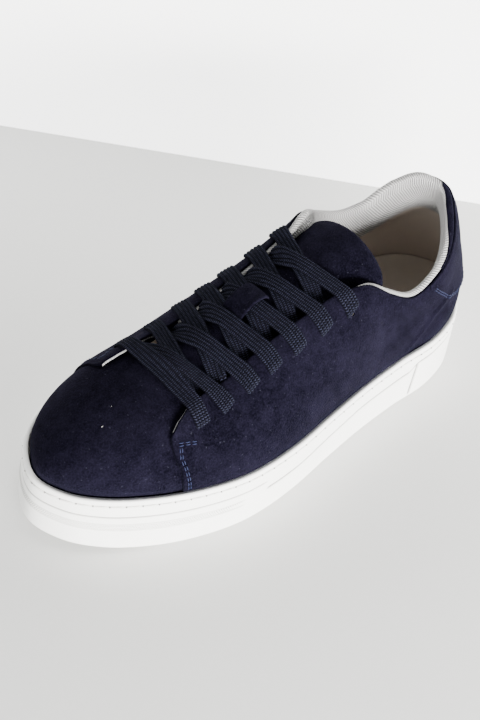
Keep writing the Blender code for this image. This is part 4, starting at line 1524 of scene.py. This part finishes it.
# ---- inside ----
@dataclass
class Lining:
    """The ribbed lining: up the suede's inside, over the padded roll, down at DEPTHS and to the footbed."""

    front_y: float = -43.5
    step: float = 0.9
    gap: float = 0.6
    highest: float = 0.98
    collar_radius: float = 1.75
    throat_radius: float = 0.75
    collar_y: Pair = (30.0, 46.0)
    far_collar_y: Pair = (10.0, 36.0)
    far_rise: Rows = ((30.0, 0.4), (80.0, 0.6), (87.0, 1.8), (93.0, 4.2), (99.0, 5.6), (104.0, 4.9),
                      (107.5, 3.2), (110.0, 1.6), (111.0, 0.8))
    near_rise: Rows = ((30.0, -0.1), (86.0, -0.1), (96.0, -0.5), (107.0, -0.1), (110.0, 0.5), (111.0, 0.8))
    throat_rise: Pair = (-0.9, 1.2)
    outer_rows: int = 16
    roll_rows: int = 13
    depths: tuple[float, ...] = (1.0, 2.0, 3.2, 4.5, 6.0, 7.5, 9.0, 11.0, 13.0, 15.5, 18.0, 21.0, 24.0, 28.0,
                                 32.0, 36.0)
    low_rows: int = 8
    thin: float = 1.5
    thinning: Pair = (6.0, 28.0)
    pad: float = 3.0
    pad_top: Pair = (0.0, 8.0)
    pad_foot: Pair = (34.0, 13.0)
    bed_gap: float = 1.0
    hole: float = 3.3

    def build(self) -> None:
        """Makes the lining."""
        turns = LAST.turns(*LAST.ends(self.front_y), self.step)
        edge = LAST.at(turns, 1.0)
        rows = LAST.sample(turns[None, :], np.linspace(0, 1, 40)[:, None])[0]
        length = np.linalg.norm(np.diff(rows, axis=0), axis=-1).sum(axis=0)
        bottom = (LAST.bed_height(rows[0, :, 1]) + self.bed_gap - rows[0, :, 2]) / LAST.under
        section = [(self.lying(turns, bottom + (1 - bottom) * share, -self.gap), -length * (1 - share))
                   for share in np.linspace(0, self.highest, self.outer_rows)]
        centre, normal, up, radius = self.roll(turns)
        for angle in np.linspace(0.0, np.pi, self.roll_rows):
            reach = normal * np.cos(angle) + up * np.sin(angle)
            section.append((centre + reach * radius[:, None], (angle - np.pi / 2) * radius))
        collar = self.padding(turns, edge)
        for depth in self.depths:
            level = 1 - np.minimum(depth / length, self.highest)
            thick = self.thin + (2 * radius - self.thin) * (1 - ramp(*self.thinning, depth))
            pad = ramp(*self.pad_top, depth) * ramp(*self.pad_foot, depth)
            thick = thick + self.pad * collar * pad
            section.append((self.lying(turns, level, -(self.gap + thick)), depth + radius))
        deepest = self.depths[-1]
        for share in np.linspace(0, 1, self.low_rows + 1)[1:]:
            section.append((self.lying(turns, level + (bottom - level) * share, -(self.gap + self.thin)),
                            deepest + (length - deepest) * share))
        rings, depths = (np.stack(column, axis=1) for column in zip(*section))
        along = run_lengths(edge)[:, None] * np.ones((1, len(section)))
        weave = Weave()
        weave.tube(rings, np.stack([along, depths], axis=-1))
        piece = weave.build("collar_lining", Finish.LINING)
        for side in Side:
            punch(piece, side, self.hole)
        mount(piece, "lining_textile", "upper")

    def padding(self, turns: Array, edge: Array) -> Array:
        """How much of the collar's padding there is, from 0 at the throat to 1."""
        reaches = (self.collar_y, self.far_collar_y)
        return np.where(turns < 0.5, *(ramp(*reach, edge[:, 1]) for reach in reaches))

    def roll(self, turns: Array) -> Arrays:
        """The roll along the top edge at turns: its middle, the directions out and up, and its radius."""
        edge, normal = LAST.sample(turns, 1.0)
        up = unit(edge - LAST.sample(turns, 0.985)[0])
        collar = self.padding(turns, edge)
        radius = self.throat_radius + (self.collar_radius - self.throat_radius) * collar
        near = turns < 0.5
        rise = np.where(near, *self.throat_rise)
        tables = (np.asarray(table).T for table in (self.near_rise, self.far_rise))
        rise = rise + (np.where(near, *(np.interp(edge[:, 1], *table) for table in tables)) - rise) * collar
        return edge - normal * (self.gap + radius)[:, None] + up * rise[:, None], normal, up, radius

    @staticmethod
    def lying(turns: Array, levels: Array, lift: Array | float) -> Array:
        """Points over the creased surface."""
        return creased(*LAST.sample(turns, levels), lift)


@dataclass
class Footbed:
    """The insole, thick under the heel and turned up round it."""

    inset: float = 6.1
    edge: float = 1.4
    rows: int = 400
    across: int = 35

    def build(self) -> None:
        """Makes the footbed."""
        turns = np.arange(0.0, 0.5, 1 / self.rows)[1:]
        left, right = (LAST.ring(way, self.inset)[:, None] for way in (turns, 1 - turns))
        share = (0.5 - 0.5 * np.cos(np.pi * np.linspace(0, 1, self.across)))[None, :, None]
        places = left * (1 - share) + right * share
        centre = np.sin(np.pi * share[..., 0]) * np.ones((len(turns), 1))
        y = places[..., 1].ravel()
        border = np.minimum(*(np.linalg.norm(places - side, axis=-1) for side in (left, right)))
        rounded = self.edge * (1 - rounding(border, self.edge))
        top = LAST.insole_height(y, centre.ravel()).reshape(centre.shape) - rounded
        low = LAST.bed_height(y).reshape(centre.shape) + LAST.fit_gap
        faces = (np.concatenate([places, height[..., None]], axis=-1) for height in (top, low))
        mount(sheet("footbed", Finish.FOOTBED, *faces, places), "lining_textile", "insole")


# ---- tongue ----
@dataclass
class Tongue:
    """The padded tongue, round across, with its free end standing over the collar."""

    thickness: float = 3.4
    edge: float = 2.2
    rows: int = 150
    end: float = 12.0
    end_gap: float = 0.4
    end_rows: int = 40
    across: int = 64
    spread: float = 0.94
    sink: float = 3.4
    sink_x: Pair = (11.0, 21.0)
    sink_y: Pair = (38.0, 28.0)
    bow: float = 1.2
    bow_y: Pair = (40.0, 53.0)
    crown: float = 0.5
    crown_in: Pair = (0.0, 10.0)
    crown_y: Pair = (20.0, 34.0)
    wave: float = 0.35

    def height(self, x: Array, y: Array) -> Array:
        """Top of the tongue at places."""
        _, height, _, middle, radius = lookup(TONGUE, np.ravel(y)).T
        gap = np.minimum(np.abs(np.ravel(x) - middle), radius * 0.97)
        drop = self.sink * ramp(*self.sink_x, gap) * ramp(*self.sink_y, np.ravel(y))
        return (height - radius + np.sqrt(radius ** 2 - gap ** 2) - drop).reshape(np.shape(x))

    def build(self) -> Piece:
        """Makes the tongue."""
        table = np.asarray(TONGUE)
        keys = run_lengths(table[:, [0, 2]])
        run = np.concatenate([np.linspace(0, keys[-1] - self.end, self.rows),
                              keys[-1] - np.linspace(self.end - self.end_gap, 0, self.end_rows)])
        place, _, half_width, middle, _ = (
            column[:, None] for column in lookup(np.column_stack([keys, table]), run)[:, 1:].T)
        angle = np.linspace(-0.5, 0.5, self.across + 1) * np.pi * self.spread
        u = np.sin(angle)[None, :] / math.sin(np.pi * self.spread / 2)
        x = middle + half_width * u
        y = place * np.ones_like(x)
        y = y - self.bow * ramp(*self.bow_y, y) * (u ** 2)
        side, end = half_width * (1 - np.abs(u)), table[-1, 0] - y
        border = np.minimum(np.minimum(side, end), run[:, None] + 0.5)
        half = self.thickness / 2 * rounding(border, self.edge)
        core = self.height(x, y) - self.thickness / 2
        crown = self.crown * ramp(*self.crown_in, border) * ramp(*self.crown_y, y)
        wave = self.wave * np.sin(x / 5.2 + y / 9.0) * np.sin(y / 7.0) * ramp(0, 6, border)
        faces = (np.stack([x, y, z], axis=-1) for z in (core + half + crown + wave, core - half + 0.02))
        piece = sheet("tongue_pad", Finish.SUEDE, *faces)
        return mount(piece, "suede", "tongue")


@dataclass
class Keeper:
    """The suede bridge on the tongue that the fourth crossing passes under."""

    tongue: Tongue
    middle: float = -6.5
    width: float = 13.0
    start: float = -21.6
    end: float = -4.4
    rows: int = 56
    across: int = 30
    gap: float = 0.1
    rise: float = 4.9
    roundness: float = 0.55
    lip: float = 0.7
    lip_width: float = 1.6
    thickness: float = 1.2
    round_edge: float = 0.6
    edge_left: float = 0.4

    def build(self) -> None:
        """Makes the bridge."""
        x, y = np.meshgrid(self.middle + self.width * np.linspace(-0.5, 0.5, self.across),
                           np.linspace(self.start, self.end, self.rows))
        share = (y - self.start) / (self.end - self.start)
        arch = np.sin(np.pi * share) ** self.roundness
        lip = self.lip * np.exp(-(((x - self.middle - self.width / 2) / self.lip_width) ** 2)) * arch
        base = self.tongue.height(x, y) + self.gap + self.rise * arch + lip
        rim = rounding(self.width / 2 - np.abs(x - self.middle), self.round_edge)
        top = base + self.thickness * at_least(self.edge_left, rim)
        faces = (np.stack([x, y, z], axis=-1) for z in (top, base))
        mount(sheet("lace_bridge", Finish.SUEDE, *faces), "suede", "lace_keeper")


# ---- laces ----
@dataclass(frozen=True)
class Run:
    """A straight run of lace on the ground, perhaps from under a facing, with its holes' directions."""

    ground: Ground
    start: Array
    end: Array
    facing: Ground | None
    holes: tuple[Array | None, Array | None]

    @cached_property
    def line(self) -> tuple[float, Array, Array]:
        """Its length, its direction and the direction across it."""
        span = float(np.linalg.norm(self.end - self.start))
        ahead = (self.end - self.start) / span
        return span, ahead, np.array([-ahead[1], ahead[0]])

    def places(self, along: Array, offsets: Array) -> Array:
        """X and y at distances along it, offset across it."""
        return self.start + along[:, None, None] * self.line[1] + offsets[..., None] * self.line[2]


@dataclass(frozen=True)
class Lace:
    """A flat braided lace with lengthwise ribs.

    It starts UNDER_FACING lower for HIDDEN. It bends into a hole and goes DEPTH down it, and is NARROW of
    its width at the hole and at the end.
    """

    width: float = 8.3
    thickness: float = 1.25
    ribs: int = 5
    strand: float = 0.95
    slant: float = 0.9
    rib_height: float = 0.40
    strand_height: float = 0.12
    edge_left: float = 0.14
    bunching: float = 0.8
    step: float = 0.33
    columns: int = 30
    lay_step: float = 0.5
    lay_columns: int = 8
    softening: int = 3
    gap: float = 0.12
    hidden: float = 3.0
    under_facing: float = 4.2
    bend: float = 1.9
    depth: float = 5.0
    narrow: Pair = (0.96, 0.74)
    narrowing: float = 6.0

    def tight(self, run: Array, heights: Array) -> Array:
        """Pulls a strap tight along a run of heights that it lies on, and gives its own heights."""
        hull: list[Pair] = []
        for place in zip(run, heights):
            while len(hull) > 1:
                (ax, az), (bx, bz) = hull[-2:]
                if (bx - ax) * (place[1] - az) < (bz - az) * (place[0] - ax):
                    break
                hull.pop()
            hull.append(place)
        places, levels = zip(*hull)
        return np.interp(run, places, levels)

    def laid(self, line: Run) -> Callable[..., Array]:
        """Lays the lace along a run.

        Args:
            line: The run.

        Returns:
            A function of (run, offset) that gives heights of its middle.
        """
        run = spaced(0.0, line.line[0], self.lay_step)
        places = line.places(run, np.linspace(-0.5, 0.5, self.lay_columns + 1)[None, :] * self.width)
        table = line.ground.heights(places)
        first = 0
        if line.facing is not None:
            first = int(np.searchsorted(run, self.hidden + self.lay_step))
            facing = line.facing.heights(places[:first])
            facing = np.where(facing < 0, np.max(facing), facing) - self.under_facing
            table[:first] = facing
            table[first] = facing[-1]
        for column in table.T:
            column[first:] = self.tight(run[first:], column[first:])
        kernel = np.ones(2 * self.softening + 1) / (2 * self.softening + 1)
        padded = np.pad(table, ((self.softening, self.softening), (0, 0)), mode="edge")
        table = np.stack([np.convolve(column, kernel, "valid") for column in padded.T], axis=1)
        table[:, 1:-1] = (table[:, :-2] + 2 * table[:, 1:-1] + table[:, 2:]) / 4
        table += self.gap + self.thickness / 2

        def height(place: Array, offset: Array) -> Array:
            """Height at a run and offset."""
            a = np.clip(place / (run[1] - run[0]), 0, len(run) - 1.001)
            b = np.clip((offset / self.width + 0.5) * self.lay_columns, 0, self.lay_columns - 0.001)
            i, j = a.astype(int), b.astype(int)
            fa, fb = a - i, b - j
            near, far = (table[i, k] * (1 - fa) + table[i + 1, k] * fa for k in (j, j + 1))
            return near * (1 - fb) + far * fb
        return height

    def middle(self, line: Run) -> Arrays:
        """Works out the lace's middle surface.

        Args:
            line: The run that it takes.

        Returns:
            Rows of points, the run along them, and how much each row is bunched.
        """
        low, high = (self.bend if hole is not None else 0.0 for hole in line.holes)
        tips = (low, line.line[0] - high)
        run = spaced(*tips, self.step)
        squeeze = np.ones_like(run)
        for hole, tip, inner in zip(line.holes, tips, (self.narrowing, -self.narrowing)):
            if hole is not None:
                squeeze -= (1 - self.narrow[0]) * ramp(tip + inner, tip, run)
        offset = np.linspace(-0.5, 0.5, self.columns + 1) * self.width * squeeze[:, None]
        height = self.laid(line)(run[:, None] * np.ones_like(offset), offset)
        rows = np.concatenate([line.places(run, offset), height[..., None]], axis=-1)
        for hole, turn in zip(line.holes, (-1, 1)):
            if hole is not None:
                rows, run, squeeze = self.dive(rows[::turn], turn * run[::turn], squeeze[::turn], hole)
                rows, run, squeeze = rows[::turn], turn * run[::turn], squeeze[::turn]
        return rows, run, squeeze

    def dive(self, rows: Array, run: Array, squeeze: Array, normal: Array) -> Arrays:
        """Adds the bend into a hole, and what is down it, to the end of the rows.

        Args:
            rows: Rows of points of the middle surface.
            run: The run along them.
            squeeze: How much each row is bunched.
            normal: The hole's direction.

        Returns:
            All three, longer.
        """
        base = rows[-1]
        centre = base[len(base) // 2]
        ahead = unit(centre - rows[-6][len(base) // 2])
        down = unit(ahead * (normal @ ahead) - normal)
        arc = spaced(0, np.pi / 2, self.step / self.bend)[1:]
        straight = spaced(0, self.depth, self.step)[1:]
        reach = [self.bend * (ahead * np.sin(a) + down * (1 - np.cos(a))) for a in arc]
        reach += [self.bend * (ahead + down) + down * d for d in straight]
        travel = np.concatenate([arc * self.bend, self.bend * np.pi / 2 + straight])
        share = ramp(self.bend * 0.7, self.bend * 2.4, travel)
        ratio = 1 + (self.narrow[1] / self.narrow[0] - 1) * share
        more = [centre + (base - centre) * r + step for r, step in zip(ratio, reach)]
        return (np.concatenate([rows, np.stack(more)]), np.concatenate([run, run[-1] + travel]),
                np.concatenate([squeeze, squeeze[-1] * ratio]))

    def woven(self, line: Run) -> Weave:
        """Weaves the lace along a run, its body round its middle surface.

        Args:
            line: The run.

        Returns:
            Its mesh.
        """
        rows, run, squeeze = self.middle(line)
        u = np.linspace(-0.5, 0.5, self.columns + 1)
        column = ((u + 0.5) * self.ribs) % 1.0 - 0.5
        column[-1] = 0.5
        rib = 1 - (2 * np.abs(column)) ** 2.2
        slant = np.abs(column)[None, :] * self.slant + run[:, None] / self.strand
        strand = 0.5 + 0.5 * np.sin(2 * np.pi * slant)
        relief = self.rib_height * rib + self.strand_height * (strand * at_least(0.3, rib) - 1)
        body = self.thickness / 2 * at_least(self.edge_left, np.sqrt(1 - (2 * np.abs(u)) ** 3.5))[None, :]
        body = body * (1 + self.bunching * (1 - squeeze[:, None]))
        normal = unit(np.cross(np.gradient(rows, axis=1), np.gradient(rows, axis=0)))
        if normal[len(normal) // 2, len(u) // 2, 2] < 0:
            normal = -normal
        flat = np.stack(np.broadcast_arrays(run[:, None], (u + 0.5)[None, :] * self.width), axis=-1)
        lift = (body + relief)[..., None]
        weave = Weave()
        weave.sheet(rows + normal * lift, rows - normal * lift, flat)
        return weave


@dataclass
class Lacing:
    """The lace through all its eyelets, crossing by crossing, the straight bar last and on top.

    Lateral and medial: how far past an eyelet's middle it goes, how it bends there, and how deep under the
    facing it comes out.
    """

    base: Sequence[Piece]
    facings: dict[Side, Skin]
    lace: Lace = Lace()
    reach: Pair = (1.9, -0.4)
    bend: Pair = (2.7, 1.3)
    depth: Pair = (4.6, 6.0)

    def hole(self, number: int, side: Side) -> Arrays:
        """Where a lace goes down an eyelet, and the hole's direction."""
        place = eyelet(number, side)
        return place, THROATS[side].under(place)[1]

    def crossing(self, ground: Ground, number: int, target: Side, maps: dict[Side, Ground]) -> Weave:
        """Makes one run of a crossing, from under one facing into the next eyelet of the other.

        Args:
            ground: What it lies on.
            number: The eyelet that it comes from.
            target: The side that it goes to.
            maps: The facings' own heights.

        Returns:
            The run's mesh.
        """
        source = Side(-target.value)
        start = eyelet(number, source)
        end, normal = self.hole(number + 1, target)
        ahead = unit(end - start)
        end = end + ahead * target.pick(self.reach)
        y = start[1]
        for _ in range(4):
            edge = THROATS[source].edge_at(y)
            share = (edge[0] - start[0]) / (end[0] - start[0])
            y = start[1] + share * (end[1] - start[1])
        start = np.array([edge[0], y]) - ahead * self.lace.hidden
        lace = replace(self.lace, bend=target.pick(self.bend), under_facing=source.pick(self.depth))
        beneath = Ground.highest(ground, maps[target])
        return lace.woven(Run(beneath, start, end, maps[source], (None, normal)))

    def build(self) -> None:
        """Makes the six crossings and the bar."""
        maps = {side: Ground(skin) for side, skin in self.facings.items()}
        ground = Ground(*(Skin(piece) for piece in self.base))
        for number in range(len(EYELETS) - 2, -1, -1):
            whole = Weave()
            for target in (Side.MEDIAL, Side.LATERAL):
                run = self.crossing(ground, number, target, maps)
                loose = run.build("run", Finish.BRAID)
                ground.add(Skin(loose))
                bpy.data.meshes.remove(loose.data)
                whole.take(run)
            piece = whole.build(f"lace_cross_{number + 1}", Finish.BRAID)
            mount(piece, "lace_braid", f"lace_crossing_{number + 1}")
        (end, end_hole), (start, start_hole) = (self.hole(0, side) for side in Side)
        ahead = unit(end - start)
        start, end = start - ahead * self.reach[1], end + ahead * self.reach[0]
        over = Ground.highest(ground, *maps.values())
        bar = self.lace.woven(Run(over, start, end, None, (start_hole, end_hole)))
        mount(bar.build("lace_first_bar", Finish.BRAID), "lace_braid", "lace_bar")


# ---- thread ----
@dataclass(frozen=True)
class Stitching:
    """Stitches sewn in rows along paths on a piece."""

    pitch: float = 3.2
    length: float = 2.5
    radius: float = 0.26
    lift: float = 0.14
    start: float = 0.5
    sides: int = 6
    rings: int = 5
    sunk: float = 0.45
    end_left: float = 0.35

    def sew(self, name: str, finish: Finish, cloth: Piece, paths: Sequence[Rows],
            offsets: Sequence[float] = (0.0,)) -> Piece:
        """Sews.

        Args:
            name: The thread's name.
            finish: Its finish.
            cloth: The piece that it is sewn on.
            paths: The lines that it follows.
            offsets: Rows beside each line.

        Returns:
            All the stitches as one piece.
        """
        skin, weave = Skin(cloth), Weave()
        for path, offset in product(paths, offsets):
            line = np.asarray(path, float)
            run = run_lengths(line)
            for place in np.arange(self.pitch * self.start, run[-1] - self.pitch / 3, self.pitch):
                point, ahead = (np.array([np.interp(place + step, run, column) for column in line.T])
                                for step in (0.0, 0.5))
                self.stitch(weave, skin, point, unit(ahead - point), offset)
        return weave.build(name, finish)

    def stitch(self, weave: Weave, skin: Skin, point: Array, ahead: Array, offset: float) -> None:
        """Adds one stitch at a point of a line that goes ahead, offset beside it."""
        _, normal = skin.nearest(point)
        side = unit(np.cross(normal, ahead))
        base, normal = skin.nearest(point + side * offset)
        ahead = unit(ahead - normal * (ahead @ normal))
        t = np.linspace(-1, 1, self.rings)[:, None]
        bow = 1 - t ** 2
        path = base + ahead * t * self.length / 2 + normal * (self.lift + self.radius) * (bow - self.sunk)
        radius = self.radius * at_least(self.end_left, bow)
        weave.rod(path, np.cross(normal, ahead), normal, radius, self.sides)


@dataclass
class Dust:
    """Pale specks and short fibres caught in the nap, some at marked places."""

    pieces: Sequence[Piece]
    count: int = 5
    marked: Rows = ((30.5, 69.9, 70.6), (1.5, -99.6, 59.9))
    marked_length: float = 0.5
    lengths: Pair = (0.15, 0.35)
    bend: float = 0.3
    lift: float = 0.08
    radius: float = 0.055

    def build(self) -> None:
        """Makes all the specks."""
        chance = np.random.default_rng(SEED)
        skins = [Skin(piece) for piece in self.pieces]
        weave = Weave()
        places = [np.array(place) for place in self.marked]
        places += [LAST.at(np.array(chance.uniform(0.0, 1.0)), np.array(chance.uniform(0.1, 0.9)))
                   for _ in range(self.count)]
        t = np.linspace(-1, 1, 4)[:, None]
        bow = 1 - t ** 2
        for number, place in enumerate(places):
            point, normal = min((skin.nearest(place) for skin in skins),
                                key=lambda found: float(np.linalg.norm(found[0] - place)))
            ahead = unit(np.cross(normal, chance.normal(size=3)))
            length = self.marked_length if number < len(self.marked) else chance.uniform(*self.lengths)
            side = np.cross(normal, ahead)
            path = point + ahead * t * length + side * bow * length * self.bend + normal * self.lift
            weave.rod(path, side, normal, self.radius * (0.4 + bow), 4)
        mount(weave.build("dust_specks", Finish.SOLE_THREAD), "suede")


# ---- studio ----
@dataclass(frozen=True)
class Light:
    """A soft rectangular light that looks at the shoe."""

    name: str
    place: Place
    size: Pair
    watts: float
    colour: Colour
    aim: Place = (0.0, 0.0, 50.0)

    def build(self) -> None:
        """Adds the light."""
        data = bpy.data.lights.new(self.name, "AREA")
        data.shape, data.energy, data.color = "RECTANGLE", self.watts, self.colour
        data.size, data.size_y = (side * MM for side in self.size)
        lamp = bpy.data.objects.new(self.name, data)
        lamp.location = Vector(self.place) * MM
        towards = Vector(self.aim) * MM - lamp.location
        lamp.rotation_euler = towards.to_track_quat("-Z", "Y").to_euler()
        bpy.context.scene.collection.objects.link(lamp)


@dataclass(frozen=True)
class Studio:
    """Floor, wall, lights and camera."""

    position: Place = (339.25, -396.36, 574.33)
    aim: Place = (-14.6, -0.2, 29.9)
    roll: float = 10.75
    lens: float = 116.0
    sensor: float = 36.0
    far_metres: float = 20.0
    lights: tuple[Light, ...] = (
        Light("key", (1400.0, -330.0, 195.0), (1200.0, 300.0), 155.0, (1.0, 0.99, 0.975)),
        Light("front_fill", (500.0, -1400.0, 450.0), (900.0, 900.0), 6.0, (0.97, 0.985, 1.0)),
        Light("left_fill", (-1200.0, -800.0, 380.0), (900.0, 900.0), 14.0, (0.97, 0.985, 1.0)),
    )
    sky: Colour = (0.80, 0.81, 0.82)
    sky_strength: float = 0.36
    floor_half: float = 3000.0
    floor_thickness: float = 10.0
    wall: Rows = ((-222.0, 61.0), (-98.0, 181.0))
    wall_reach: Pair = (-1500.0, 2500.0)
    wall_height: float = 420.0

    def build(self) -> None:
        """Makes all of it."""
        self.floor()
        self.backdrop()
        for light in self.lights:
            light.build()
        world = bpy.data.worlds.new("studio")
        world.use_nodes = True
        background = world.node_tree.nodes["Background"].inputs
        background["Color"].default_value = (*self.sky, 1.0)
        background["Strength"].default_value = self.sky_strength
        bpy.context.scene.world = world
        self.camera()

    def floor(self) -> None:
        """The pale floor, a sheet with a little thickness."""
        ends = (-self.floor_half, self.floor_half)
        corners = np.array([[(x, y, 0.0) for x in ends] for y in ends])
        sheet("floor", Finish.FLOOR, corners, corners - (0, 0, self.floor_thickness))

    def backdrop(self) -> None:
        """The pale wall behind the shoe."""
        near, far = (np.array([*place, 0.0]) for place in self.wall)
        ahead = unit(far - near)
        foot = np.stack([near + ahead * reach for reach in self.wall_reach])
        weave = Weave()
        weave.skin(weave.add(np.stack([foot, foot + (0, 0, self.wall_height)])))
        wall = weave.build("backdrop", Finish.WALL)
        if wall.data.polygons[0].normal.dot(Vector((ahead[1], -ahead[0], 0))) < 0:
            wall.data.flip_normals()

    def camera(self) -> None:
        """Adds the camera."""
        data = bpy.data.cameras.new("camera")
        data.lens, data.sensor_width, data.sensor_fit = self.lens, self.sensor, "HORIZONTAL"
        data.clip_end = self.far_metres
        camera = bpy.data.objects.new("camera", data)
        back = (Vector(self.position) - Vector(self.aim)).normalized()
        right = Vector((0, 0, 1)).cross(back).normalized()
        right = Matrix.Rotation(math.radians(self.roll), 3, back) @ right
        matrix = Matrix((right, back.cross(right), back)).transposed().to_4x4()
        matrix.translation = Vector(self.position) * MM
        camera.matrix_world = matrix
        bpy.context.scene.collection.objects.link(camera)
        bpy.context.scene.camera = camera


def main() -> None:
    """Builds the studio and the shoe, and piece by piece."""
    logging.basicConfig(level=logging.INFO, format="%(message)s")
    Studio().build()
    sole = CupSole()
    sole_piece = sole.build()
    Knurl(sole).build()
    vamp = Vamp().build()
    quarters = [Quarter(side, *SEAMS[side]) for side in Side]
    panels = {}
    for quarter, (out, start) in zip(quarters, ((0.30, 0.04), (0.75, 0.004))):
        panels[quarter.side] = quarter.build()
        Facing(quarter, out, start).build()
    lining = Lining()
    lining.build()
    CollarWrap(lining).build()
    Footbed().build()
    tab = HeelTab(TAB_EDGE)
    tab_piece = tab.build()
    tongue = Tongue()
    tongue_piece = tongue.build()
    Lacing([vamp, tongue_piece], {quarter.side: quarter.skin for quarter in quarters}).build()
    Keeper(tongue).build()
    seam = Stitching()
    for quarter in quarters:
        thread = seam.sew(f"seam_thread_{quarter.side.label}", Finish.THREAD, panels[quarter.side],
                          [LAST.outside(quarter.stitches)], TWO_ROWS)
        mount(thread, "suede")
    rim = sole.wall(spaced(0.0, 1.0, 1e-3), np.array(sole.stitch_share))
    long = Stitching(pitch=7.5, length=6.6, radius=0.42, lift=0.05)
    mount(long.sew("sole_thread", Finish.SOLE_THREAD, sole_piece, [rim]), "sole_rubber")
    # dark dots between the sole's stitches: painted shade of the needle holes
    holes = Stitching(pitch=7.5, length=0.9, radius=0.45, lift=0.12, start=0.0)
    mount(holes.sew("sole_hole_shades", Finish.NEEDLE_HOLE, sole_piece, [rim]), "sole_rubber")
    mount(seam.sew("tab_thread", Finish.THREAD, tab_piece, [tab.inside(2.3)], TWO_ROWS), "suede")
    Dust([vamp, *panels.values()]).build()


if __name__ == "__main__":
    main()
